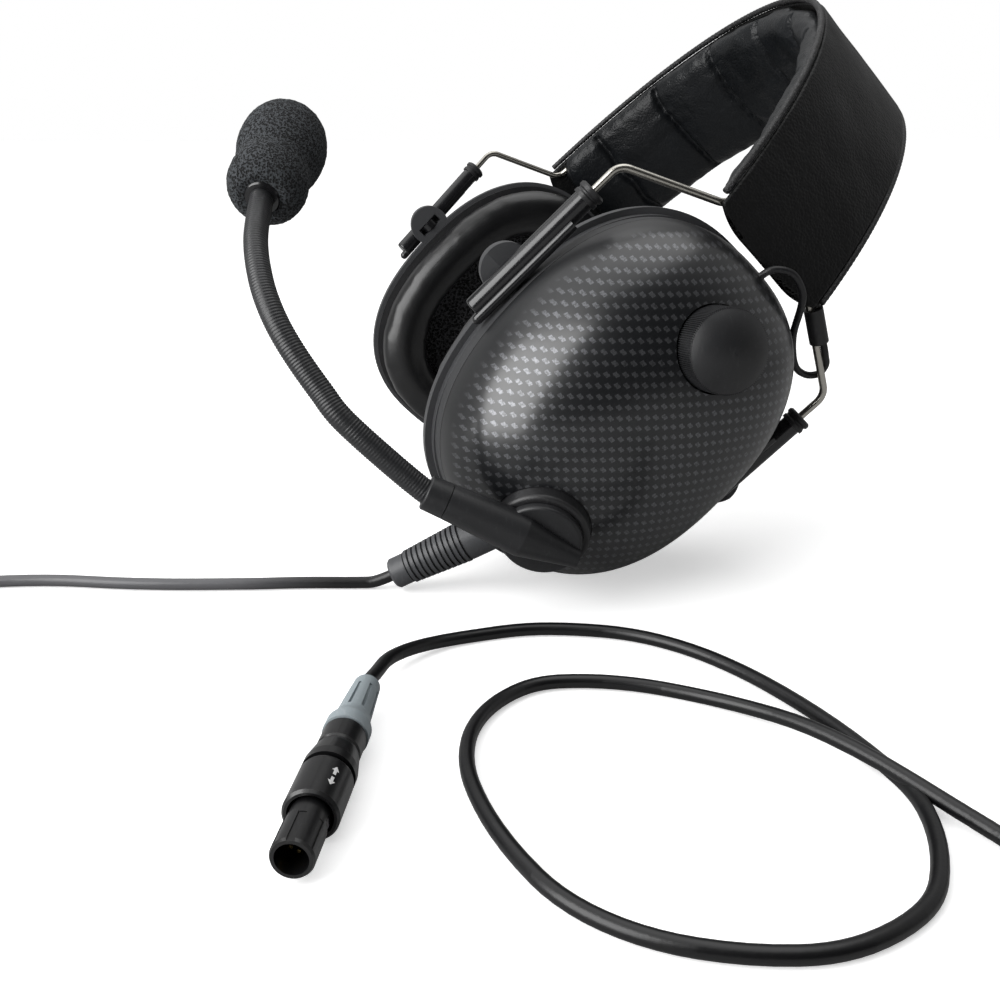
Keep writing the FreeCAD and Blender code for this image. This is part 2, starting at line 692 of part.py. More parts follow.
def wire_line(side):
    """One spring wire from inside the left front or rear sleeve to the right one, as a chain of edges."""
    y = side * WIRE_BAND_Y
    entry, outward = arch_station(WIRE_DEPTH, y, arch_angle(WIRE_DEPTH, WIRE_ENTRY_Z))
    corner = entry + outward * WIRE_CORNER_DROP
    bend = sleeve_top(side) + sleeve_axis() * WIRE_BEND_RISE
    low = sleeve_top(side) - sleeve_axis() * WIRE_INSERTED
    arc_low, low_end, low_start = rounded_corner(low, bend, corner, WIRE_BEND_R)
    arc_high, high_end, high_start = rounded_corner(bend, corner, entry, WIRE_BEND_R)
    half = [Part.makeLine(low, low_end), arc_low, Part.makeLine(low_start, high_end), arc_high,
            Part.makeLine(high_start, entry)]
    far_half = [mirrored(edge) for edge in half]
    return half + arch_edges(WIRE_DEPTH, y, WIRE_ENTRY_Z) + far_half, bend, corner, entry


def spring_wire(side):
    edges, _, _, _ = wire_line(side)
    return swept(edges, WIRE_R)


def wire_channel(side, radius):
    """The room that a wire needs where it enters the band's left end."""
    _, bend, corner, entry = wire_line(side)
    arc, start, end = rounded_corner(bend, corner, entry, WIRE_BEND_R)
    way_in = Part.makeLine(bend + (start - bend) * 0.3, start)
    return swept([way_in, arc, Part.makeLine(end, entry)], radius)


def tube_frame():
    """The straight stretch of the rear wire: its start, heading, length and the side the cable lies on."""
    _, bend, corner, _ = wire_line(1)
    heading = unit(corner - bend)
    side = unit(V(0, 0, 1).cross(heading).cross(heading) * -1)
    return bend, heading, (corner - bend).Length, side


def cable_tubes():
    """The heat-shrink tubes that tie the crossover cable to the rear wire at both ends of the band."""
    bend, heading, length, side = tube_frame()
    start = bend + heading * (length * TUBE_FROM)
    reach = length * (TUBE_TO - TUBE_FROM)
    body = Part.makeCylinder(TUBE_R, reach, start + side * PAIR_GAP, heading)
    body = body.cut(Part.makeCylinder(WIRE_R + 0.03, reach + 2, start - heading, heading))
    body = body.cut(Part.makeCylinder(CABLE_R, reach + 2, start + side * 2 * PAIR_GAP - heading, heading))
    return Part.makeCompound([body, mirrored(body)])


def band_cable_points():
    """The crossover cable's left end: through the tube and up into the band."""
    bend, heading, length, side = tube_frame()
    offset = side * (2 * PAIR_GAP)
    inside = bend + heading * (length * TUBE_FROM) + offset
    outside = bend + heading * (length * TUBE_TO) + offset
    return inside, outside, heading


def band_cable_half():
    inside, outside, heading = band_cable_points()
    z = WIRE_ENTRY_Z + 6.0
    entry, outward = arch_station(WIRE_DEPTH, CABLE_BAND_Y, arch_angle(WIRE_DEPTH, z))
    past_wire = entry + V(-0.3, 4.4, -7.0)
    rising = arc_chain([outside, past_wire, entry], heading, outward * -1)
    return [Part.makeLine(inside, outside)] + rising, z


def band_cable():
    half, z = band_cable_half()
    edges = half + arch_edges(WIRE_DEPTH, CABLE_BAND_Y, z) + [mirrored(edge) for edge in half]
    return swept(edges, CABLE_R)


def with_entries(shape):
    """shape with room cut for both wires and the cable at both of its ends."""
    half, _ = band_cable_half()
    rooms = [wire_channel(-1, 1.45), wire_channel(1, 1.45), swept(half, 1.4)]
    bend, heading, length, side = tube_frame()
    start = bend + heading * (length * TUBE_FROM) + side * PAIR_GAP
    rooms.append(Part.makeCylinder(TUBE_R + 0.15, length * (TUBE_TO - TUBE_FROM) + 0.3, start, heading))
    for room in rooms:
        shape = shape.cut(room).cut(mirrored(room))
    return shape


def band_cover():
    slab = arch_slab(0, COVER_T, -BAND_HALF_Y + 1.1, BAND_HALF_Y - 1.1)
    return with_entries(tongue_cut(slab, BAND_END_Z, BAND_TONGUE))


def band_core():
    depth = COVER_T + CORE_T
    slab = arch_slab(COVER_T, depth, -WIRE_BAND_Y + 1.9, CABLE_BAND_Y - 1.5)
    return with_entries(tongue_cut(slab, WIRE_ENTRY_Z + 4, 3.0))


def band_pad():
    slab = arch_slab(COVER_T + CORE_T, BAND_T, -BAND_HALF_Y + 1, BAND_HALF_Y - 1)
    return with_entries(tongue_cut(slab, PAD_END_Z, PAD_TONGUE))


def band_piping():
    cords = []
    for side in (-1, 1):
        y = side * (BAND_HALF_Y + 0.1)
        cords.append(swept(arch_edges(COVER_T - 0.6, y, BAND_END_Z + 3.0), PIPING_R))
    return Part.makeCompound(cords)


def cable_loop():
    """The slack crossover cable between the left cup's top and the heat-shrink tube."""
    inside, _, heading = band_cable_points()
    points = [CABLE_EXIT - V(0, 0, 3.0), CABLE_EXIT + V(0, 0, 0.8)]
    points += LOOP_PATH
    points += [inside - heading * 5.0, inside - heading * 0.1]
    return swept(arc_chain(points, V(0, 0, 1), heading), CABLE_R)


# ---------------------------------------------------------------- cord and plug
def strain_relief():
    """A tapered, ribbed rubber boot where the cord leaves the cup."""
    outline = [(CORD_R + 0.03, -9.0), (5.8, -9.0), (5.8, 1.5)]
    pitch = (RELIEF_LENGTH - 7.0) / RELIEF_RIBS
    for i in range(RELIEF_RIBS):
        z = 1.5 + pitch * i
        r = 6.0 - 1.5 * (z / RELIEF_LENGTH)
        outline += [(r - 0.9, z), (r - 0.9, z + pitch * 0.35), (r, z + pitch * 0.4), (r, z + pitch)]
    outline += [(3.9, RELIEF_LENGTH - 5.5), (3.9, RELIEF_LENGTH - 5.1), (4.5, RELIEF_LENGTH - 5.0),
                (4.5, RELIEF_LENGTH - 0.6), (4.0, RELIEF_LENGTH), (CORD_R + 0.03, RELIEF_LENGTH)]
    return placed(spun(outline), RELIEF_AT, relief_axis())


def plug_heading():
    return unit(V(PLUG_HEADING[0], PLUG_HEADING[1], 0))


def cord_line(floor):
    """The cord's centre line in the table frame: out of the boot, round the table, into the plug."""
    rest = floor + CORD_R + 0.05
    start = lean(RELIEF_AT - relief_axis() * 12)
    end = lean(RELIEF_AT + relief_axis() * (RELIEF_LENGTH + 2.4))
    relief_way = unit(end - start)
    boot = [start + (end - start) * part for part in (0.0, 0.5, 0.93, 1.0)]
    level = V(relief_way.x, relief_way.y, 0)
    drop = end.z - rest
    settling = 2 * drop * level.Length / -relief_way.z
    for part in (0.5, 0.85):
        landing = end + unit(level) * (settling * part)
        boot.append(V(landing.x, landing.y, rest + drop * (1 - part) ** 2))
    lying = []
    for i, (x, y) in enumerate(CORD_PATH):
        away = math.hypot(x - CORD_CROSSING[0], y - CORD_CROSSING[1]) / CROSSING_REACH
        over = i < len(CORD_PATH) // 2
        hump = (2 * CORD_R + 0.5) * max(0.0, 1 - away ** 2) if over else 0.0
        lying.append(V(x, y, rest + hump))
    plug_z = floor + PLUG_R + 0.05
    tail = V(PLUG_AT[0], PLUG_AT[1], plug_z)
    lying[-1].z = (rest + plug_z) / 2
    plugged = [tail + plug_heading() * reach for reach in (-3, 0, 12, 24)]
    return boot + lying + plugged


def cord(floor):
    return swept(arc_chain(cord_line(floor)), CORD_R)


def plug_place(shape, floor):
    return placed(shape, V(PLUG_AT[0], PLUG_AT[1], floor + PLUG_R + 0.05), plug_heading(), V(0, 0, 1))


def plug_bend_relief():
    outline = ((CORD_R + 0.05, 0), (2.8, 0), (3.1, 0.5), (3.9, 15.5), (4.2, 17.0), (5.0, 19.5), (5.0, 23.0),
               (3.2, 23.2), (3.2, 28.0), (CORD_R + 0.05, 28.0))
    boot = spun(outline)
    for i in range(8):
        slot = Part.makeBox(2.0, 0.7, 11.0, V(2.9, -0.35, 4.0))
        boot = boot.cut(slot.rotate(V(0, 0, 0), V(0, 0, 1), 45 * i + 10))
    return boot


def plug_back_nut():
    return spun(((3.25, 23.4), (4.7, 23.4), (4.7, 29.6), (4.3, 30.2), (3.25, 30.2)))


def plug_backshell():
    return spun(((2.6, 30.3), (4.5, 30.3), (4.9, 31.6), (PLUG_R, 36.0), (PLUG_R, PLUG_SEAM),
                 (4.5, PLUG_SEAM), (4.5, 41.0), (4.25, 41.0), (4.25, 39.0), (2.6, 39.0)))


def plug_release_sleeve():
    back = PLUG_SEAM + PLUG_TRAVEL + 0.1
    return spun(((4.55, back), (5.5, back), (PLUG_R, back + 0.4), (PLUG_R, 51.6), (5.1, 52.2), (4.55, 52.2)))


def plug_shell():
    """The nose that enters the socket, open in front, with a keyway, guide grooves and latch windows."""
    shank_r = NOSE_R - 0.25
    nose_to = NOSE_FROM + NOSE_LENGTH
    nose = spun(((3.2, 39.1), (shank_r, 39.1), (shank_r, NOSE_FROM), (NOSE_R, NOSE_FROM), (NOSE_R, nose_to),
                 (NOSE_R - 0.3, nose_to + 0.6), (3.2, nose_to + 0.6)))
    keyway = Part.makeBox(1.0, 1.6, 12.0, V(NOSE_R - 0.4, -0.8, NOSE_FROM))
    nose = nose.cut(keyway)
    for turn in (55, 125, 235, 305):
        groove = Part.makeBox(1.0, 1.1, NOSE_LENGTH, V(NOSE_R - 0.35, -0.55, NOSE_FROM))
        nose = nose.cut(groove.rotate(V(0, 0, 0), V(0, 0, 1), turn))
    for turn in (90, 270):
        window = Part.makeBox(3.0, 2.2, 2.0, V(2.6, -1.1, 52.9))
        nose = nose.cut(window.rotate(V(0, 0, 0), V(0, 0, 1), turn))
    return nose


def plug_latch():
    """The sprung latch fingers behind the nose windows."""
    fingers = []
    for turn in (90, 270):
        finger = Part.makeBox(0.4, 1.8, 6.0, V(2.6, -0.9, 49.0))
        finger = finger.fuse(Part.makeBox(1.0, 1.8, 1.2, V(2.8, -0.9, 53.4)))
        fingers.append(finger.rotate(V(0, 0, 0), V(0, 0, 1), turn))
    return Part.makeCompound(fingers)


def plug_insert():
    return disc(2.5, 39.2, 55.0)


def plug_contacts():
    pins = []
    for i in range(6):
        a = math.pi / 3 * i
        pins.append(Part.makeCylinder(0.35, 5.5, V(1.6 * math.cos(a), 1.6 * math.sin(a), 55.0)))
    return Part.makeCompound(pins)


# ---------------------------------------------------------------- the whole headset
def cup_pieces():
    """The pieces that both cups share, drawn on the left."""
    return {
        "cup_base": cup_base(),
        "seal_plate": seal_plate(),
        "ear_seal": ear_seal(),
        "speaker_plate": speaker_plate(),
        "speaker": speaker(),
        "plate_screws": plate_screws(),
        "foam_liner": foam_liner(),
        "damping_foam": damping_foam(),
        "pivot_pins": pivot_pins(),
        "front_sleeve": wire_sleeve(-1),
        "rear_sleeve": wire_sleeve(1),
        "sleeve_collars": sleeve_collars(),
        "cable_loop": cable_loop(),
    }


def head_pieces():
    """Every piece of the headset itself, in the head frame."""
    pieces = {"left_cup_shell": left_shell(), "right_cup_shell": mirrored(plain_shell()[0])}
    for name, shape in cup_pieces().items():
        pieces["left_" + name] = shape
        pieces["right_" + name] = mirrored(shape)
    pieces.update({
        "front_spring_wire": spring_wire(-1),
        "rear_spring_wire": spring_wire(1),
        "band_cover": band_cover(),
        "band_core": band_core(),
        "band_pad": band_pad(),
        "band_piping": band_piping(),
        "band_cable": band_cable(),
        "cable_tubes": cable_tubes(),
        "volume_knob": volume_knob(),
        "pot_shaft": pot_shaft(),
        "volume_pot": volume_pot(),
        "pot_nut": pot_nut(),
        "circuit_board": circuit_board(),
        "boom_mount": boom_mount(),
        "boom_holder": boom_holder(),
        "boom_end_ring": boom_end_ring(),
        "boom_axle": boom_axle(),
        "boom_lower": boom_lower(),
        "boom_upper": boom_upper(),
        "mic_neck": mic_neck(),
        "mic_capsule": mic_capsule(),
        "windscreen": windscreen(),
        "cord_strain_relief": strain_relief(),
    })
    return pieces


def plug_pieces():
    return {
        "plug_bend_relief": plug_bend_relief(),
        "plug_back_nut": plug_back_nut(),
        "plug_backshell": plug_backshell(),
        "plug_release_sleeve": plug_release_sleeve(),
        "plug_shell": plug_shell(),
        "plug_latch": plug_latch(),
        "plug_insert": plug_insert(),
        "plug_contacts": plug_contacts(),
    }


def leaned(shape):
    return shape.copy().rotate(V(0, 0, 0), V(1, 0, 0), -LEAN_DEG)


def table_pieces():
    """Every piece in the table frame, and the shift that brings the footprint's middle to the origin."""
    pieces = {name: leaned(shape) for name, shape in head_pieces().items()}
    floor = pieces["left_cup_base"].BoundBox.ZMin
    pieces["cord"] = cord(floor)
    for name, shape in plug_pieces().items():
        pieces[name] = plug_place(shape, floor)
    box = FreeCAD.BoundBox()
    for name in OUTERMOST:
        box.add(pieces[name].BoundBox)
    return pieces, V(-box.Center.x, -box.Center.y, -box.ZMin)


def main():
    os.makedirs("parts", exist_ok=True)
    pieces, shift = table_pieces()
    for name, shape in pieces.items():
        shape.translate(shift)
        shape.exportStep(os.path.join("parts", name + ".step"))


if __name__ == "__main__":
    main()
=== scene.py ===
"""Looks of the aviation headset: skins, padded leather, foam, gooseneck and cables over the CAD frame.

Shapes are written in the head frame, in millimetres: origin midway between the ear cups, +X towards the
wearer's left, +Y to the back, +Z up through the crown. HEAD turns that into the row frame in metres.
"""
import math

import bmesh
import bpy
from mathutils import Matrix, Vector, noise


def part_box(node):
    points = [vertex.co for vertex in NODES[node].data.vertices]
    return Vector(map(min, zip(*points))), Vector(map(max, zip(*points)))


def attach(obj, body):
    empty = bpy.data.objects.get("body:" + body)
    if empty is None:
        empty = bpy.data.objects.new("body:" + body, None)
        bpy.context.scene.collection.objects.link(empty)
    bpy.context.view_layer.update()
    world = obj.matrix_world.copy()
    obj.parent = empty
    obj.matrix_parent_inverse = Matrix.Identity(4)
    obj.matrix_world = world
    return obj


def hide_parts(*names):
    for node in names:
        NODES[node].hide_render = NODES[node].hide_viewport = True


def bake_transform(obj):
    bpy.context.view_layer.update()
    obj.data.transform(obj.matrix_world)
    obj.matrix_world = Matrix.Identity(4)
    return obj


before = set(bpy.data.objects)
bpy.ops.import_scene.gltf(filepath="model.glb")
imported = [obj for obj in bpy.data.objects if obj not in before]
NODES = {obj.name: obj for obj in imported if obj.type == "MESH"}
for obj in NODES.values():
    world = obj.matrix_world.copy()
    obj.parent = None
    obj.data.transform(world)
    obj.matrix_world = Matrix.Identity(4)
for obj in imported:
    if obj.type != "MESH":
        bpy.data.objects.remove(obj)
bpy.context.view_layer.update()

# ---------------------------------------------------------------- where things are
MM = 0.001
LEAN = math.radians(45)


def centre(node):
    low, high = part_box(node)
    return (low + high) / 2


MIDDLE = (centre("left_cup_base") + centre("right_cup_base")) / 2
HEAD = Matrix.Translation(MIDDLE) @ Matrix.Rotation(-LEAN, 4, "X") @ Matrix.Scale(MM, 4)
RIGHT_HEAD = HEAD @ Matrix.Scale(-1, 4, (1, 0, 0))

# ear cups
PART_LINE_X = 82.7
DOME_DEPTH = 38.5
DOME_HALF_Y = 41.9
DOME_HALF_Z = 53.2
DOME_SHIFT_Y = 1.0
DOME_SHIFT_Z = 1.9
PLAN_POWER = 2.39
RISE_POWER = 2.74
ROUND_POWER = 1.97
GROOVE_X = 89.0
SEAL_X = 55.0
SEAL_BACK = 72.6
SEAL_OPEN = (23.5, 35.5)
SEAL_OUTER = (42.4, 55.0)

# volume knob and boom swivel, with the pockets they sit in
KNOB_AT = Vector((113.5, -1.0, 26.3))
KNOB_AXIS = Vector((math.cos(math.radians(7)), 0, math.sin(math.radians(7))))
KNOB_POCKET_R = 11.7
MOUNT_AT = Vector((114.8, 1.6, -40.0))
MOUNT_AXIS = Vector((math.cos(math.radians(28)), 0, -math.sin(math.radians(28))))
MOUNT_R = 13.15
MOUNT_DEPTH = 7.05

# headband arch: depths are measured inwards from its outer face
ARCH_HALF_X = 103.0
ARCH_BASE_Z = 15.0
ARCH_RISE = 127.0
BAND_HALF_Y = 21.5
COVER_T = 1.8
BAND_IN = 4.8
BAND_T = 13.0
COVER_END = (58.6, 4.6)
PAD_END = (62.4, 3.0)
TONGUE_FLAT_Y = 9.0
PAD_R = 112
SEAM_ANGLES = (-1.0, -0.72, -0.44, -0.15, 0.15, 0.44, 0.72, 1.0)
SEAM_REACH = 16

# boom, microphone and cables
BOOM_R = 3.3
HOLDER_TIP = 33.0
BOOM_AIM = Vector((110.4, -28.2, -51.2))
BOOM_PATH = [Vector(p) for p in (
    (107.0, -54.8, -52.8), (103.0, -65.8, -51.4), (98.0, -77.7, -48.9), (93.0, -86.4, -46.0),
    (86.0, -93.8, -42.0), (76.0, -100.7, -36.0), (64.0, -105.9, -27.8))]
MIC_AXIS = Vector((-0.84, -0.16, 0.52)).normalized()
CABLE_R = 1.05
PLUG_AHEAD = Vector((0.957, -0.288, 0)).normalized()
ARROW_R = 5.64
LOOP_PATH = [Vector(p) for p in (
    (99.5, 1.0, 48.0), (99.5, 1.0, 51.8), (100.6, 2.1, 55.1), (101.2, 6.5, 57.7), (100.2, 12.5, 56.9),
    (98.8, 16.2, 54.3), (92.0, 24.0, 48.8), (89.5, 31.8, 44.4), (87.6, 37.5, 45.0), (87.8, 40.4, 48.0),
    (89.0, 39.4, 51.0), (90.5, 36.5, 52.3), (91.2, 32.1, 54.5), (91.4, 30.6, 55.2))]
LOOP_SPLIT = 7

# padding and camera
CLOTH_FRAMES = 20
LENS = 40.77
CAMERA_AT = Vector((390.1, -94.2, 73.8))
CAMERA_AHEAD = Vector((-0.93108, 0.18904, -0.31201))
CAMERA_RIGHT = Vector((0.19874, 0.98005, 0.0007))


# ---------------------------------------------------------------- mesh helpers
def new_object(name, mesh):
    obj = bpy.data.objects.new(name, mesh)
    bpy.context.scene.collection.objects.link(obj)
    return obj


def skin(name, rows, loop=False, caps=False, matrix=HEAD):
    """A smooth mesh through closed rows of head-frame points. loop joins the last row to the first, caps
    closes the two ends."""
    width = len(rows[0])
    points = [matrix @ Vector(p) for row in rows for p in row]
    faces = []
    for i in range(len(rows) if loop else len(rows) - 1):
        below = i * width
        above = (i + 1) % len(rows) * width
        for j in range(width):
            k = (j + 1) % width
            faces.append((below + j, below + k, above + k, above + j))
    if caps:
        faces.append(tuple(reversed(range(width))))
        faces.append(tuple(range((len(rows) - 1) * width, len(rows) * width)))
    mesh = bpy.data.meshes.new(name)
    mesh.from_pydata(points, [], faces)
    made = bmesh.new()
    made.from_mesh(mesh)
    bmesh.ops.recalc_face_normals(made, faces=made.faces)
    made.to_mesh(mesh)
    made.free()
    mesh.shade_smooth()
    return new_object(name, mesh)


def curve_points(points, step):
    """Points about step apart on a smooth curve through points."""
    ends = [points[0] * 2 - points[1]] + list(points) + [points[-1] * 2 - points[-2]]
    result = []
    for i in range(1, len(ends) - 2):
        p0, p1, p2, p3 = ends[i - 1:i + 3]
        count = max(1, round((p2 - p1).length / step))
        for j in range(count):
            t = j / count
            result.append(0.5 * (2 * p1 + (p2 - p0) * t + (2 * p0 - 5 * p1 + 4 * p2 - p3) * t ** 2
                                 + (3 * p1 - p0 - 3 * p2 + p3) * t ** 3))
    return result + [points[-1]]


def bar(name, points, radius_at, sides=24, matrix=HEAD):
    """A round bar along points; radius_at gives its radius at a distance along it."""
    rows = []
    travelled = 0.0
    across = None
    for i, point in enumerate(points):
        heading = (points[min(i + 1, len(points) - 1)] - points[max(i - 1, 0)]).normalized()
        if across is None:
            across = heading.orthogonal().normalized()
        across = (across - heading * across.dot(heading)).normalized()
        other = heading.cross(across)
        if i:
            travelled += (point - points[i - 1]).length
        r = radius_at(travelled)
        rows.append([point + across * (r * math.cos(a)) + other * (r * math.sin(a))
                     for a in [2 * math.pi * k / sides for k in range(sides)]])
    return skin(name, rows, caps=True, matrix=matrix)


def turned(name, outline, origin, axis, sides=96):
    """A closed form turned about axis from (radius, height) points."""
    axis = axis.normalized()
    across = axis.orthogonal().normalized()
    other = axis.cross(across)
    rows = []
    for r, z in outline:
        r = max(r, 0.05)
        rows.append([origin + axis * z + across * (r * math.cos(a)) + other * (r * math.sin(a))
                     for a in [2 * math.pi * k / sides for k in range(sides)]])
    return skin(name, rows, caps=True)


def rounded(angle, half_y, half_z, power=PLAN_POWER):
    """A point of the cup outline at an angle."""
    c = math.cos(angle)
    s = math.sin(angle)
    r = (abs(c / half_y) ** power + abs(s / half_z) ** power) ** (-1 / power)
    return r * c, r * s


def add_modifier(obj, kind, **settings):
    modifier = obj.modifiers.new(kind.title(), kind)
    for key, value in settings.items():
        setattr(modifier, key, value)
    return modifier


def apply_modifiers(obj):
    """Turns obj's modifiers into plain geometry."""
    bpy.context.view_layer.update()
    evaluated = obj.evaluated_get(bpy.context.evaluated_depsgraph_get())
    mesh = bpy.data.meshes.new_from_object(evaluated)
    obj.modifiers.clear()
    obj.data = mesh
    mesh.shade_smooth()


def smoothed(obj):
    """Doubles obj's mesh once, rounding it off."""
    add_modifier(obj, "SUBSURF", levels=1, render_levels=1)
    apply_modifiers(obj)


# ---------------------------------------------------------------- padding by cloth simulation
def puffed(obj, voxel, pressure, limit):
    """Swells a slightly small closed form as a covered cushion would, moving no point more than limit."""
    add_modifier(obj, "REMESH", mode="VOXEL", voxel_size=voxel * MM)
    apply_modifiers(obj)
    before = [v.co.copy() for v in obj.data.vertices]
    cloth = add_modifier(obj, "CLOTH")
    cloth.settings.use_pressure = True
    cloth.settings.uniform_pressure_force = pressure
    cloth.settings.tension_stiffness = 12
    cloth.settings.compression_stiffness = 12
    cloth.settings.bending_stiffness = 0.4
    cloth.settings.effector_weights.gravity = 0
    scene = bpy.context.scene
    for number in range(1, CLOTH_FRAMES + 1):
        scene.frame_set(number)
    apply_modifiers(obj)
    scene.frame_set(1)
    for vertex, start in zip(obj.data.vertices, before):
        move = vertex.co - start
        if move.length > limit * MM:
            vertex.co = start + move.normalized() * (limit * MM)
    smoothed(obj)


# ---------------------------------------------------------------- material helpers
class Paint:
    """A procedural material, built node by node. Lengths given to it are in millimetres."""

    def __init__(self, name, colour, roughness, metallic=0.0, coat=0.0, coat_roughness=0.08):
        self.material = bpy.data.materials.new(name)
        self.material.use_nodes = True
        self.tree = self.material.node_tree
        self.shader = self.tree.nodes["Principled BSDF"]
        self.height = None
        self.normal = self.node("ShaderNodeNewGeometry").outputs["Normal"]
        texture = self.node("ShaderNodeTexCoord")
        scale = self.node("ShaderNodeVectorMath", operation="SCALE")
        scale.inputs["Scale"].default_value = 1 / MM
        self.link(texture.outputs["Object"], scale.inputs[0])
        self.local = scale.outputs[0]
        self.colour = (*colour, 1)
        self.roughness = roughness
        self.set("Base Color", self.colour)
        self.set("Roughness", roughness)
        self.set("Metallic", metallic)
        self.set("Coat Weight", coat)
        self.set("Coat Roughness", coat_roughness)

    def node(self, kind, **settings):
        made = self.tree.nodes.new(kind)
        for key, value in settings.items():
            setattr(made, key, value)
        return made

    def link(self, source, target):
        self.tree.links.new(source, target)

    def set(self, name, value):
        socket = self.shader.inputs[name]
        if isinstance(value, bpy.types.NodeSocket):
            self.link(value, socket)
        else:
            socket.default_value = value

    def calc(self, operation, first, second=0.0, third=0.0):
        """One step of arithmetic on numbers or sockets."""
        made = self.node("ShaderNodeMath", operation=operation)
        for socket, value in zip(made.inputs, (first, second, third)):
            if isinstance(value, bpy.types.NodeSocket):
                self.link(value, socket)
            else:
                socket.default_value = value
        return made.outputs[0]

    def split(self, vector):
        made = self.node("ShaderNodeSeparateXYZ")
        self.link(vector, made.inputs[0])
        return made.outputs

    def speckle(self, size, detail=2.0, stretch=(1, 1, 1), distortion=0.0):
        """Smooth noise from 0 to 1 with features about size across."""
        mapping = self.node("ShaderNodeMapping")
        mapping.inputs["Scale"].default_value = stretch
        self.link(self.local, mapping.inputs[0])
        made = self.node("ShaderNodeTexNoise")
        made.inputs["Scale"].default_value = 1 / size
        made.inputs["Detail"].default_value = detail
        made.inputs["Distortion"].default_value = distortion
        self.link(mapping.outputs[0], made.inputs["Vector"])
        return made.outputs["Fac"]

    def cells(self, size, feature="F1"):
        """Distance field of scattered cells about size across."""
        made = self.node("ShaderNodeTexVoronoi", feature=feature)
        made.inputs["Scale"].default_value = 1 / size
        self.link(self.local, made.inputs["Vector"])
        return made.outputs["Distance"]

    def ramp(self, value, low, high, out_low=0.0, out_high=1.0):
        """value between low and high, eased from out_low to out_high."""
        made = self.node("ShaderNodeMapRange", interpolation_type="SMOOTHSTEP")
        self.link(value, made.inputs["Value"])
        made.inputs["From Min"].default_value = low
        made.inputs["From Max"].default_value = high
        made.inputs["To Min"].default_value = out_low
        made.inputs["To Max"].default_value = out_high
        return made.outputs[0]

    def tint(self, value, colour):
        """Blends the base colour towards colour where value is 1."""
        made = self.node("ShaderNodeMix", data_type="RGBA")
        self.link(value, made.inputs["Factor"])
        if isinstance(self.colour, bpy.types.NodeSocket):
            self.link(self.colour, made.inputs["A"])
        else:
            made.inputs["A"].default_value = self.colour
        made.inputs["B"].default_value = (*colour, 1)
        self.colour = made.outputs["Result"]
        self.set("Base Color", self.colour)

    def vary_roughness(self, value, spread):
        self.set("Roughness", self.calc("MULTIPLY_ADD", value, 2 * spread, self.roughness - spread))

    def bump(self, value, depth):
        """Adds relief as high as depth where value is 1."""
        made = self.node("ShaderNodeBump")
        made.inputs["Strength"].default_value = 1.0
        made.inputs["Distance"].default_value = depth * MM
        self.link(value, made.inputs["Height"])
        if self.height is not None:
            self.link(self.height, made.inputs["Normal"])
        self.height = made.outputs["Normal"]
        self.set("Normal", self.height)

    def worn(self, fine=0.5, depth=0.02, spread=0.05, light=None, amount=0.35):
        """Fine unevenness, patchy shine and, with light, faint scuffs."""
        self.bump(self.speckle(fine, 4.0), depth)
        self.vary_roughness(self.speckle(9.0, 4.0), spread)
        if light:
            scuffs = self.ramp(self.speckle(2.5, 8.0, stretch=(1, 3, 1)), 0.56, 0.72, 0.0, amount)
            self.tint(scuffs, light)
        return self


# ---------------------------------------------------------------- materials
def lattice_dashes(paint, facing):
    """Short slanted dashes in rows: up to 1 on a dash that faces outwards, 0 between dashes."""
    pitch_y = 2.35
    pitch_z = 2.75
    slant = math.radians(28)
    _, y, z = paint.split(paint.local)
    row = paint.calc("DIVIDE", z, pitch_z)
    cell_z = paint.calc("SUBTRACT", paint.calc("FRACT", row), 0.5)
    drift = paint.calc("MULTIPLY", paint.calc("FLOOR", row), 0.08)
    column = paint.calc("ADD", paint.calc("DIVIDE", y, pitch_y), drift)
    cell_y = paint.calc("SUBTRACT", paint.calc("FRACT", column), 0.5)
    across = paint.calc("ADD", paint.calc("MULTIPLY", cell_y, pitch_y * math.cos(slant)),
                        paint.calc("MULTIPLY", cell_z, pitch_z * math.sin(slant)))
    along = paint.calc("SUBTRACT", paint.calc("MULTIPLY", cell_z, pitch_z * math.cos(slant)),
                       paint.calc("MULTIPLY", cell_y, pitch_y * math.sin(slant)))
    step = paint.calc("MULTIPLY", paint.calc("SIGN", along), 0.1)
    inside_y = paint.ramp(paint.calc("ABSOLUTE", paint.calc("ADD", across, step)), 0.5, 0.62, 1.0, 0.0)
    inside_z = paint.ramp(paint.calc("ABSOLUTE", along), 0.62, 0.78, 1.0, 0.0)
    uneven = paint.ramp(paint.speckle(0.55, 3.0), 0.32, 0.62, 0.3, 1.0)
    fade = paint.ramp(facing, 0.28, 0.5)
    shape = paint.calc("MULTIPLY", inside_y, inside_z)
    return paint.calc("MULTIPLY", shape, paint.calc("MULTIPLY", fade, uneven))


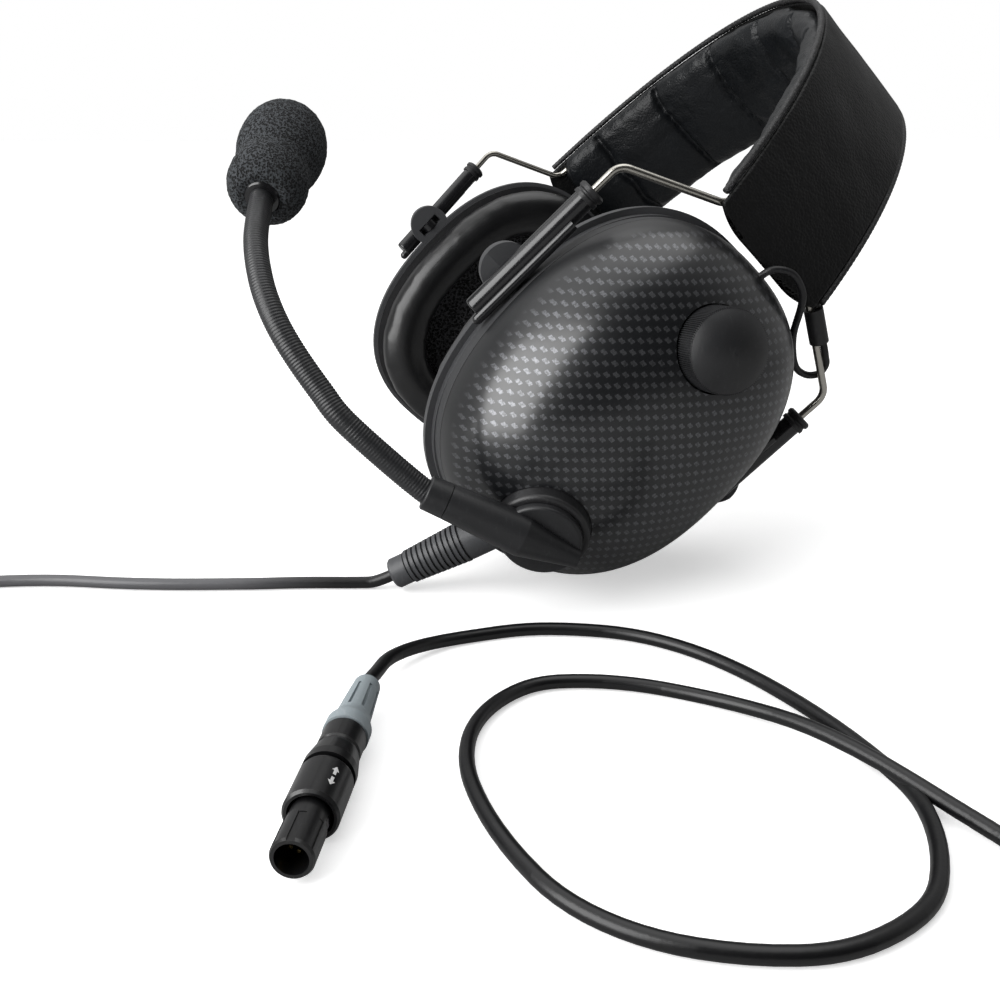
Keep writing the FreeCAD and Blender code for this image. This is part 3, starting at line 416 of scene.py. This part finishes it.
def lattice_gloss():
    """Gloss black skin printed with rows of light dashes. Past a thin groove, which is darkened with
    painted shade, its edge is plain satin.
    """
    paint = Paint("lattice_gloss", (0.006, 0.0065, 0.0075), 0.3, coat=0.7, coat_roughness=0.2)
    facing = paint.calc("ABSOLUTE", paint.split(paint.normal)[0])
    dash = lattice_dashes(paint, facing)
    paint.tint(paint.ramp(facing, 0.7, 0.2, 0.0, 0.7), (0.012, 0.0125, 0.0135))
    paint.tint(dash, (0.14, 0.143, 0.152))
    x = paint.split(paint.local)[0]
    outward = paint.calc("ABSOLUTE", paint.calc("SUBTRACT", x, MIDDLE.x / MM))
    edge = paint.ramp(outward, GROOVE_X - 0.1, GROOVE_X + 0.1, 1.0, 0.0)
    paint.tint(edge, (0.035, 0.036, 0.038))
    # The thin groove is painted near black: painted shade in the groove, which is only bumped and has no
    # real depth.
    off_groove = paint.calc("ABSOLUTE", paint.calc("SUBTRACT", outward, GROOVE_X))
    groove = paint.ramp(off_groove, 0.25, 0.4, 1.0, 0.0)
    paint.tint(groove, (0.001, 0.001, 0.001))
    plain = paint.calc("SUBTRACT", 1.0, paint.calc("MAXIMUM", edge, groove))
    paint.set("Metallic", paint.calc("MULTIPLY", dash, plain))
    rim_roughness = paint.ramp(facing, 0.3, 0.75, 0.42, 0.3)
    paint.set("Roughness", paint.calc("MULTIPLY_ADD", edge, 0.12, rim_roughness))
    paint.set("Coat Weight", paint.calc("MULTIPLY", paint.ramp(facing, 0.3, 0.7, 0.2, 0.6), plain))
    paint.bump(paint.speckle(0.6, 3.0), 0.006)
    paint.bump(paint.calc("SUBTRACT", 1.0, groove), 0.4)
    return paint.material


def satin_gray():
    paint = Paint("satin_gray", (0.05, 0.051, 0.054), 0.45)
    return paint.worn(0.35, 0.02, 0.05, (0.06, 0.06, 0.063)).material


def satin_black():
    paint = Paint("satin_black", (0.016, 0.016, 0.017), 0.38)
    return paint.worn(0.4, 0.02, 0.06, (0.05, 0.05, 0.052)).material


def gloss_black():
    paint = Paint("gloss_black", (0.009, 0.009, 0.01), 0.22, coat=0.4)
    return paint.worn(1.5, 0.02, 0.05, (0.04, 0.04, 0.042), 0.2).material


def charcoal():
    paint = Paint("charcoal", (0.014, 0.0143, 0.0155), 0.4)
    return paint.worn(0.3, 0.03, 0.06, (0.035, 0.035, 0.037)).material


def ribbed_gooseneck():
    paint = Paint("ribbed_gooseneck", (0.02, 0.0205, 0.022), 0.36)
    return paint.worn(0.3, 0.03, 0.08, (0.07, 0.07, 0.075)).material


def leather(name, colour, roughness, grain, depth):
    """Grained leather: small raised cells, finer creases and slow changes of shine."""
    paint = Paint(name, colour, roughness)
    paint.set("Specular IOR Level", 0.28)
    paint.bump(paint.ramp(paint.cells(grain), 0.15, 0.75), depth)
    paint.bump(paint.speckle(0.35, 4.0), depth * 0.4)
    paint.bump(paint.speckle(22.0, 3.0), 1.2)
    paint.vary_roughness(paint.speckle(14.0, 5.0), 0.1)
    patches = paint.ramp(paint.speckle(30.0, 4.0), 0.45, 0.75, 0.0, 0.6)
    paint.tint(patches, tuple(c * 1.9 for c in colour))
    return paint


def cover_leather():
    return leather("cover_leather", (0.0022, 0.0023, 0.0025), 0.5, 0.9, 0.09).material


def pad_leather():
    paint = leather("pad_leather", (0.006, 0.0068, 0.0078), 0.36, 0.8, 0.06)
    paint.bump(paint.speckle(4.5, 3.0, stretch=(1, 0.6, 1), distortion=0.6), 0.4)
    return paint.material


def seal_vinyl():
    paint = Paint("seal_vinyl", (0.004, 0.004, 0.0045), 0.34, coat=0.2, coat_roughness=0.2)
    paint.bump(paint.cells(0.7), 0.02)
    paint.bump(paint.speckle(6.0, 4.0, distortion=0.4), 0.15)
    paint.vary_roughness(paint.speckle(12.0, 4.0), 0.08)
    return paint.material


def stitched_binding():
    """Edge binding with close light stitches."""
    paint = Paint("stitched_binding", (0.006, 0.006, 0.0065), 0.45)
    threads = paint.ramp(paint.speckle(0.45, 6.0, distortion=1.2), 0.56, 0.7)
    paint.tint(threads, (0.12, 0.12, 0.125))
    paint.bump(paint.speckle(0.6, 5.0, distortion=1.0), 0.25)
    paint.vary_roughness(paint.speckle(4.0, 3.0), 0.1)
    return paint.material


def open_foam(name, colour, cell, depth):
    """Foam with open cells about cell across and depth deep; the cell edges are painted lighter as painted
    highlight, and the pits stay dark.
    """
    paint = Paint(name, colour, 0.95)
    paint.bump(paint.ramp(paint.cells(cell), 0.1, 0.6), depth)
    paint.bump(paint.speckle(cell * 0.6, 6.0), depth * 0.8)
    # Painted highlight: the edges of the cells are painted lighter than the pits between them.
    paint.tint(paint.ramp(paint.cells(cell), 0.42, 0.62), tuple(c * 9 for c in colour))
    paint.vary_roughness(paint.speckle(2.0), 0.04)
    return paint.material


def spring_steel():
    paint = Paint("spring_steel", (0.55, 0.53, 0.48), 0.22, metallic=1.0)
    paint.bump(paint.speckle(0.12, 2.0, stretch=(1, 1, 0.08)), 0.01)
    paint.vary_roughness(paint.speckle(3.0, 5.0), 0.08)
    return paint.material


def plain_steel():
    return Paint("plain_steel", (0.45, 0.45, 0.46), 0.35, metallic=1.0).worn(0.3, 0.02, 0.08).material


def cable_jacket():
    paint = Paint("cable_jacket", (0.007, 0.007, 0.008), 0.38)
    return paint.worn(0.8, 0.03, 0.07, (0.04, 0.04, 0.045)).material


def cord_jacket():
    """Black jacket that turns gray towards the front (-Y)."""
    paint = Paint("cord_jacket", (0.004, 0.004, 0.0045), 0.32)
    along = paint.split(paint.local)[1]
    paint.tint(paint.ramp(along, -20.0, -60.0), (0.11, 0.11, 0.116))
    return paint.worn(0.9, 0.03, 0.07).material


def relief_rubber():
    paint = Paint("relief_rubber", (0.06, 0.062, 0.066), 0.42)
    return paint.worn(0.3, 0.03, 0.06, (0.12, 0.12, 0.13), 0.3).material


def plug_rubber():
    paint = Paint("plug_rubber", (0.27, 0.31, 0.33), 0.5)
    return paint.worn(0.3, 0.03, 0.06, (0.4, 0.42, 0.44), 0.3).material


def plug_gloss():
    paint = Paint("plug_gloss", (0.005, 0.005, 0.0055), 0.3, coat=0.25, coat_roughness=0.15)
    return paint.worn(1.2, 0.01, 0.04, (0.03, 0.03, 0.032), 0.15).material


def gilt():
    return Paint("gilt", (0.83, 0.62, 0.26), 0.25, metallic=1.0).worn(0.2, 0.01, 0.05).material


def green_board():
    paint = Paint("green_board", (0.02, 0.12, 0.05), 0.35)
    tracks = paint.ramp(paint.cells(2.2, "F2"), 0.62, 0.66)
    paint.tint(tracks, (0.05, 0.22, 0.1))
    return paint.worn(0.3, 0.02, 0.05).material


def core_sheet():
    return Paint("core_sheet", (0.12, 0.12, 0.12), 0.6).worn(0.5, 0.03, 0.05).material


def white_mark():
    return Paint("white_mark", (0.75, 0.75, 0.75), 0.5).worn(0.1, 0.005, 0.05).material


# ---------------------------------------------------------------- finishing helpers
def finish_piece(obj, body, material, slot, *nodes):
    """Material, riding body and the CAD nodes that obj stands for, which it hides. slot is not used."""
    obj.data.materials.clear()
    obj.data.materials.append(material)
    if body:
        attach(obj, body)
    if nodes:
        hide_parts(*nodes)
    return obj


def dress_cad(material, *names, bevel=0.0):
    """Gives carried-over CAD nodes a material, and softens their edges a little."""
    for name in names:
        obj = NODES[name]
        for slot in obj.material_slots:
            slot.material = material
        if bevel:
            add_modifier(obj, "WELD", merge_threshold=0.00001)
            add_modifier(obj, "BEVEL", width=bevel * MM, segments=2, limit_method="ANGLE",
                         angle_limit=math.radians(40), harden_normals=False)


# ---------------------------------------------------------------- cups
def dome(name, matrix, pockets):
    """The glossy domed shell, with round pockets sunk into it."""
    rings = 56
    foot_x = PART_LINE_X + 0.05
    lip = 6.0
    turns = [2 * math.pi * j / 192 for j in range(192)]
    rows = [[(foot_x, *rounded(a, DOME_HALF_Y - lip, DOME_HALF_Z - lip)) for a in turns]]
    for i in range(rings):
        width = math.cos(math.pi / 2 * i / rings)
        rise = (1 - width ** ROUND_POWER) ** (1 / RISE_POWER)
        row = []
        for a in turns:
            y, z = rounded(a, DOME_HALF_Y * width, DOME_HALF_Z * width)
            row.append((foot_x + DOME_DEPTH * rise, y + DOME_SHIFT_Y * rise, z + DOME_SHIFT_Z * rise))
        rows.append(row)
    obj = skin(name, rows, caps=True, matrix=matrix)
    for origin, axis, radius, depth in pockets:
        outline = ((radius, -depth), (radius, 30.0))
        cutter = turned("pocket_cutter", outline, origin, axis, sides=128)
        add_modifier(obj, "BOOLEAN", operation="DIFFERENCE", solver="EXACT", object=cutter)
        apply_modifiers(obj)
        bpy.data.objects.remove(cutter)
    sharpen(obj, 35)
    return obj


def sharpen(obj, degrees):
    """Marks edges sharper than degrees so that smooth shading stops there."""
    obj.data.set_sharp_from_angle(angle=math.radians(degrees))


def seal_ring(name):
    """The ear seal's closed form before it swells."""
    shrink = 1.3
    middle_x = (SEAL_X + SEAL_BACK) / 2
    half_x = (SEAL_BACK - SEAL_X) / 2 - 0.6
    rows = []
    for i in range(120):
        a = 2 * math.pi * i / 120
        inner = Vector((0, *rounded(a, *SEAL_OPEN)))
        outer = Vector((0, *rounded(a, *SEAL_OUTER)))
        half = (outer - inner).length / 2 - shrink
        way = (outer - inner).normalized()
        mid = (outer + inner) / 2
        row = []
        for k in range(28):
            t = 2 * math.pi * k / 28
            c, s = math.cos(t), math.sin(t)
            u = math.copysign(abs(c) ** 0.62, c) * half
            v = math.copysign(abs(s) ** 0.7, s) * half_x
            row.append(mid + way * u + Vector((middle_x + v, 0, 0)))
        rows.append(row)
    return skin(name, rows, loop=True)


def ear_seals(material):
    """Both seals: the left one is swollen by simulation and the right one is its mirror image."""
    left = seal_ring("left_seal_cushion")
    puffed(left, 4.0, 3.0, 1.2)
    pull_seam(left)
    mesh = left.data.copy()
    mesh.transform(RIGHT_HEAD @ HEAD.inverted())
    mesh.flip_normals()
    right = new_object("right_seal_cushion", mesh)
    finish_piece(left, "left_cup", material, "seal_skin", "left_ear_seal")
    finish_piece(right, "right_cup", material, "seal_skin", "right_ear_seal")


def pull_seam(obj):
    """Presses a welded seam round the outside of the seal, and keeps the form between head and cup."""
    to_head = HEAD.inverted()
    seam_x = SEAL_BACK - 5.0
    seam_depth = 0.7
    seam_half = 0.9
    side_from = 34
    for vertex in obj.data.vertices:
        p = to_head @ vertex.co
        radial = Vector((0, p.y, p.z))
        groove = seam_depth * math.exp(-((p.x - seam_x) / seam_half) ** 2)
        if radial.length <= side_from:
            groove = 0.0
        pucker = 0.12 * noise.noise(Vector((p.x * 0.12, p.y * 0.35, p.z * 0.35)))
        p -= radial.normalized() * (groove + pucker)
        p.x = min(max(p.x, SEAL_X - 0.6), SEAL_BACK - 0.03)
        vertex.co = HEAD @ p
    obj.data.update()


def cups():
    gloss = lattice_gloss()
    pockets = ((KNOB_AT, KNOB_AXIS, KNOB_POCKET_R, 0.0), (MOUNT_AT, MOUNT_AXIS, MOUNT_R, MOUNT_DEPTH))
    left = dome("left_dome", HEAD, pockets)
    finish_piece(left, "left_cup", gloss, "cup_finish", "left_cup_shell")
    right = dome("right_dome", RIGHT_HEAD, ())
    finish_piece(right, "right_cup", gloss, "cup_finish", "right_cup_shell")
    ear_seals(seal_vinyl())


# ---------------------------------------------------------------- headband
def arch_point(angle, depth, y):
    """A point of the arch; angle is from the crown, towards the left."""
    x = (ARCH_HALF_X - depth) * math.sin(angle)
    z = ARCH_BASE_Z + (ARCH_RISE - depth) * math.cos(angle)
    return Vector((x, y, z))


def arch_inward(angle):
    """The direction from the arch's outer face towards the head."""
    return Vector((-ARCH_RISE * math.sin(angle), 0, -ARCH_HALF_X * math.cos(angle))).normalized()


def end_angle(end, y, depth):
    """Where the band ends at y: lower in the middle, rising to the sides."""
    side_z, drop = end
    reach = BAND_HALF_Y + 1 - TONGUE_FLAT_Y
    radius = (reach ** 2 + drop ** 2) / (2 * drop)
    past = min(max(0.0, abs(y) - TONGUE_FLAT_Y), reach)
    z = side_z - drop + radius - math.sqrt(radius ** 2 - past ** 2)
    return math.acos((z - ARCH_BASE_Z) / (ARCH_RISE - depth))


def band_rows(end, outline, count):
    """Rows of points along the arch; outline is a list of (y, depth), the same all along."""
    rows = []
    for i in range(count + 1):
        along = 2 * i / count - 1
        rows.append([arch_point(along * end_angle(end, y, depth), depth, y) for y, depth in outline])
    return rows


def round_section(half_y, out, deep, corner):
    """A closed (y, depth) outline with rounded corners, its straight sides in steps of about 2."""
    fine = 6
    points = []
    middles = ((half_y - corner, out + corner, -90), (half_y - corner, deep - corner, 0),
               (-half_y + corner, deep - corner, 90), (-half_y + corner, out + corner, 180))
    for y, depth, start in middles:
        for i in range(fine + 1):
            a = math.radians(start + 90 * i / fine)
            points.append((y + corner * math.cos(a), depth + corner * math.sin(a)))
    dense = []
    for i, (y, depth) in enumerate(points):
        next_y, next_depth = points[(i + 1) % len(points)]
        go_y = next_y - y
        go_depth = next_depth - depth
        parts = max(1, round(math.hypot(go_y, go_depth) / 2.0))
        dense += [(y + go_y * k / parts, depth + go_depth * k / parts) for k in range(parts)]
    return dense


def cover():
    """The leather outside of the band, with a slight sag."""
    outline = round_section(BAND_HALF_Y - 1.1, 0.0, COVER_T, 0.85)
    obj = skin("band_cover_leather", band_rows(COVER_END, outline, 260), caps=True)
    to_head = HEAD.inverted()
    for vertex in obj.data.vertices:
        p = to_head @ vertex.co
        sag = 0.35 * noise.noise(Vector((p.x, p.y * 1.6, p.z)) * 0.045)
        vertex.co = HEAD @ (p * (1 - sag / 120))
    return obj


def channel_depth(angle, y):
    """How far the cushion is drawn in at a place: a sharp stitch line in a wide valley, with puckers."""
    drawn = 0.0
    for number, seam in enumerate(SEAM_ANGLES):
        wander = 0.012 * noise.noise(Vector((y * 0.12, number * 7.3, 0)))
        away = abs(angle - seam - wander) * PAD_R
        if away < SEAM_REACH:
            pucker = noise.noise(Vector((y * 0.42, number * 3.1, away * 0.1)))
            drawn += 2.4 * math.exp(-(away / 1.3) ** 2) + 1.2 * math.exp(-(away / 7.0) ** 2)
            drawn += 0.55 * pucker * math.exp(-away / 5.5)
    return drawn


def pad():
    """The cushion inside the band: swollen by simulation, then drawn in along its sewn channels."""
    outline = round_section(BAND_HALF_Y + 0.3, COVER_T + 0.1, BAND_T - 1.1, 4.0)
    obj = skin("band_cushion", band_rows(PAD_END, outline, 130), caps=True)
    puffed(obj, 3.6, 2.5, 1.1)
    smoothed(obj)
    to_head = HEAD.inverted()
    for vertex in obj.data.vertices:
        p = to_head @ vertex.co
        angle = math.atan2(p.x / (ARCH_HALF_X - 9), (p.z - ARCH_BASE_Z) / (ARCH_RISE - 9))
        inward = arch_inward(angle)
        depth = (p - arch_point(angle, 0.0, p.y)).dot(inward)
        inside = min(1.0, max(0.0, (depth - BAND_IN - 1.0) / 4.0))
        drawn = channel_depth(angle, p.y)
        p -= inward * (drawn * inside)
        p.y -= math.copysign(0.35 * drawn * inside * (abs(p.y) / BAND_HALF_Y) ** 4, p.y)
        vertex.co = HEAD @ p
    obj.data.update()
    return obj


def piping(side):
    """The stitched edge binding along one side of the band."""
    y = side * (BAND_HALF_Y + 0.1)
    end = math.acos((COVER_END[0] + 1.5 - ARCH_BASE_Z) / (ARCH_RISE - 1.2))
    points = [arch_point(end * (2 * i / 400 - 1), 1.2, y) for i in range(401)]
    name = "front_binding" if side < 0 else "rear_binding"
    return bar(name, points, lambda s: 1.0 + 0.06 * math.sin(s * 3.4), sides=16)


def band():
    finish_piece(cover(), "headband", cover_leather(), "band_leather", "band_cover")
    finish_piece(pad(), "headband", pad_leather(), "band_leather", "band_pad")
    binding = stitched_binding()
    finish_piece(piping(-1), "headband", binding, "band_leather", "band_piping")
    finish_piece(piping(1), "headband", binding, "band_leather")


# ---------------------------------------------------------------- boom and microphone
def boom_points():
    """The gooseneck's middle line, from inside the holder to inside the microphone."""
    heading = BOOM_AIM - MOUNT_AT
    heading = (heading - MOUNT_AXIS * heading.dot(MOUNT_AXIS)).normalized()
    lift = MOUNT_AT + MOUNT_AXIS * 2.3
    inside = [lift + heading * 24.0, lift + heading * HOLDER_TIP]
    return inside + BOOM_PATH + [BOOM_PATH[-1] + MIC_AXIS * 3.0]


def boom():
    """One ribbed gooseneck from the holder to the microphone."""
    rib = 0.07
    pitch = 0.85
    points = curve_points(boom_points(), 0.21)
    turn = 2 * math.pi / pitch
    obj = bar("gooseneck", points, lambda s: BOOM_R - rib + rib * math.cos(turn * s), sides=32)
    finish_piece(obj, None, ribbed_gooseneck(), "charcoal_rubber", "boom_lower", "boom_upper")
    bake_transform(obj)


def windscreen():
    """The two-lobed foam ball, with its small dent at the near end."""
    outline = [Vector((r, z, 0)) for r, z in (
        (3.4, 1.6), (4.8, 0.6), (7.4, 0.4), (10.0, 2.6), (11.2, 6.4), (11.2, 10.0),
        (10.7, 13.6), (10.9, 16.4), (12.0, 20.0), (12.7, 25.0), (12.5, 30.0),
        (11.2, 35.0), (8.8, 38.8), (5.6, 41.2), (2.6, 42.3), (0.0, 42.6))]
    outline = [(p.x, p.y) for p in curve_points(outline, 0.5)]
    obj = turned("mic_foam", outline, BOOM_PATH[-1], MIC_AXIS, sides=160)
    mesh = obj.data
    normals = [n.vector.copy() for n in mesh.vertex_normals]
    for vertex, normal in zip(mesh.vertices, normals):
        p = vertex.co / MM
        rise = 0.16 * noise.noise(p * 1.5) + 0.12 * noise.noise(p * 0.5) - 0.1
        vertex.co += normal * (MM * rise)
    foam = open_foam("windscreen_foam", (0.006, 0.0066, 0.0072), 0.62, 0.55)
    finish_piece(obj, "boom_tip", foam, "foam", "windscreen")


# ---------------------------------------------------------------- plug marks
def plug_arrows():
    """Two small arrows on the release sleeve that point opposite ways along it."""
    beside = Vector((-PLUG_AHEAD.y, PLUG_AHEAD.x, 0))
    up = Vector((0, 0, 1))
    turn = math.radians(33)
    reach = 1.3
    shaft = 0.32
    barb = 0.8
    tip = 0.02
    sleeve = centre("plug_release_sleeve")
    points = []
    faces = []
    for middle, way in ((-2.1, -1), (1.3, 1)):
        first = len(points)
        for t, half in ((-reach, shaft), (0.0, shaft), (0.0, barb), (reach, tip)):
            for w in (-half, 0.0, half):
                a = turn + w / ARROW_R
                radial = beside * math.sin(a) + up * math.cos(a)
                offset = PLUG_AHEAD * (middle + way * t) + radial * ARROW_R
                points.append(sleeve + offset * MM)
        for start in (first, first + 6):
            faces += [(start + k, start + k + 1, start + k + 4, start + k + 3) for k in (0, 1)]
    mesh = bpy.data.meshes.new("plug_arrows")
    mesh.from_pydata(points, [], faces)
    finish_piece(new_object("plug_arrows", mesh), "plug_sleeve", white_mark(), "plug_black")


# ---------------------------------------------------------------- crossover cable
def cable_loops(material):
    """Each loop is one cable in two lengths, since it crosses two joints."""
    points = curve_points(LOOP_PATH, 0.7)
    split = min(range(len(points)), key=lambda i: (points[i] - LOOP_PATH[LOOP_SPLIT]).length)
    for side, matrix in (("left", HEAD), ("right", RIGHT_HEAD)):
        lower = bar(f"{side}_cup_cable", points[:split + 1], lambda s: CABLE_R, 16, matrix)
        upper = bar(f"{side}_band_cable", points[split - 1:], lambda s: CABLE_R - 0.01, 16, matrix)
        finish_piece(lower, None, material, "cable_black", f"{side}_cable_loop")
        finish_piece(upper, None, material, "cable_black")
        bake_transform(lower)
        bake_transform(upper)


# ---------------------------------------------------------------- carried-over CAD nodes
def carried_over(cable):
    dress_cad(cable, "band_cable")
    dress_cad(satin_gray(), "left_cup_base", "right_cup_base", bevel=0.15)
    dress_cad(satin_black(), "left_seal_plate", "right_seal_plate", "left_speaker_plate",
              "right_speaker_plate", "left_sleeve_collars", "right_sleeve_collars", "cable_tubes",
              "boom_mount", "mic_capsule", "plug_insert", "left_speaker", "right_speaker")
    dress_cad(gloss_black(), "left_front_sleeve", "left_rear_sleeve", "right_front_sleeve",
              "right_rear_sleeve", "mic_neck")
    dress_cad(charcoal(), "volume_knob", "boom_holder", "boom_end_ring")
    liner = open_foam("liner_foam", (0.006, 0.006, 0.0065), 1.1, 0.5)
    dress_cad(liner, "left_foam_liner", "right_foam_liner", "left_damping_foam", "right_damping_foam")
    dress_cad(spring_steel(), "front_spring_wire", "rear_spring_wire")
    dress_cad(plain_steel(), "left_plate_screws", "right_plate_screws", "left_pivot_pins",
              "right_pivot_pins", "pot_shaft", "volume_pot", "pot_nut", "boom_axle", "plug_latch")
    dress_cad(cord_jacket(), "cord")
    dress_cad(relief_rubber(), "cord_strain_relief")
    dress_cad(plug_rubber(), "plug_bend_relief")
    dress_cad(plug_gloss(), "plug_back_nut", "plug_backshell", "plug_release_sleeve", "plug_shell")
    dress_cad(gilt(), "plug_contacts")
    dress_cad(green_board(), "circuit_board")
    dress_cad(core_sheet(), "band_core")


# ---------------------------------------------------------------- stage, light and camera
def plain_floor():
    """A pale floor. It looks brighter than the light that it sends back on to the object."""
    half = 12.0
    corners = [(-half, -half, 0), (half, -half, 0), (half, half, 0), (-half, half, 0)]
    mesh = bpy.data.meshes.new("floor")
    mesh.from_pydata(corners, [], [(0, 1, 2, 3)])
    floor = new_object("floor", mesh)
    paint = Paint("pale_floor", (0.38, 0.38, 0.38), 0.9)
    seen = paint.node("ShaderNodeLightPath").outputs["Is Camera Ray"]
    paint.tint(seen, (0.95, 0.95, 0.95))
    paint.set("Specular IOR Level", 0.0)
    paint.set("Emission Color", (1, 1, 1, 1))
    paint.set("Emission Strength", paint.calc("MULTIPLY", seen, 0.5))
    floor.data.materials.append(paint.material)


def soft_light(name, place, aim, width, height, power):
    light = bpy.data.lights.new(name, "AREA")
    light.shape = "RECTANGLE"
    light.size = width
    light.size_y = height
    light.energy = power
    obj = bpy.data.objects.new(name, light)
    obj.location = MIDDLE + Vector(place)
    obj.rotation_euler = (Vector(aim) - Vector(place)).to_track_quat("-Z", "Y").to_euler()
    bpy.context.scene.collection.objects.link(obj)


def overhead_light():
    """Even light on the whole floor, as under a wide white ceiling."""
    light = bpy.data.lights.new("overhead", "SUN")
    light.energy = 1.1
    light.angle = math.radians(80)
    obj = bpy.data.objects.new("overhead", light)
    obj.rotation_euler = (math.radians(8), math.radians(-12), 0)
    bpy.context.scene.collection.objects.link(obj)


def surroundings():
    """Plain white to the camera. As light it is dim, and dimmest from +X, so that the gloss stays deep."""
    world = bpy.data.worlds.new("studio")
    bpy.context.scene.world = world
    world.use_nodes = True
    tree = world.node_tree
    background = tree.nodes["Background"]
    place = tree.nodes.new("ShaderNodeTexCoord")
    split = tree.nodes.new("ShaderNodeSeparateXYZ")
    tree.links.new(place.outputs["Generated"], split.inputs[0])
    dim = tree.nodes.new("ShaderNodeMapRange")
    dim.interpolation_type = "SMOOTHSTEP"
    for name, value in (("From Min", 0.1), ("From Max", 0.8), ("To Min", 0.35), ("To Max", 0.03)):
        dim.inputs[name].default_value = value
    tree.links.new(split.outputs["X"], dim.inputs["Value"])
    seen = tree.nodes.new("ShaderNodeLightPath")
    pick = tree.nodes.new("ShaderNodeMix")
    pick.inputs["B"].default_value = 1.0
    tree.links.new(seen.outputs["Is Camera Ray"], pick.inputs["Factor"])
    tree.links.new(dim.outputs[0], pick.inputs["A"])
    tree.links.new(pick.outputs["Result"], background.inputs["Strength"])
    background.inputs["Color"].default_value = (1.0, 1.0, 1.0, 1)


def camera():
    """Out beyond the left cup, without roll, looking about 18 degrees down."""
    data = bpy.data.cameras.new("camera")
    data.sensor_width = 36.0
    data.lens = LENS
    obj = bpy.data.objects.new("camera", data)
    obj.location = MIDDLE + CAMERA_AT * MM
    ahead = CAMERA_AHEAD
    right = CAMERA_RIGHT.normalized()
    up = right.cross(ahead).normalized()
    turn = Matrix((right, up, -ahead)).transposed()
    obj.rotation_euler = turn.to_euler()
    data.clip_start = 0.01
    bpy.context.scene.collection.objects.link(obj)
    bpy.context.scene.camera = obj


def studio():
    plain_floor()
    surroundings()
    soft_light("key", (0.46, -0.95, 0.40), (0.08, 0.0, 0.0), 1.05, 1.0, 17.0)
    soft_light("top", (-0.1, 0.1, 1.2), (0.0, 0.0, 0.0), 1.0, 0.9, 1.5)
    overhead_light()
    camera()
    bpy.context.scene.view_settings.view_transform = "Standard"


cups()
band()
boom()
windscreen()
plug_arrows()
jacket = cable_jacket()
cable_loops(jacket)
carried_over(jacket)
studio()
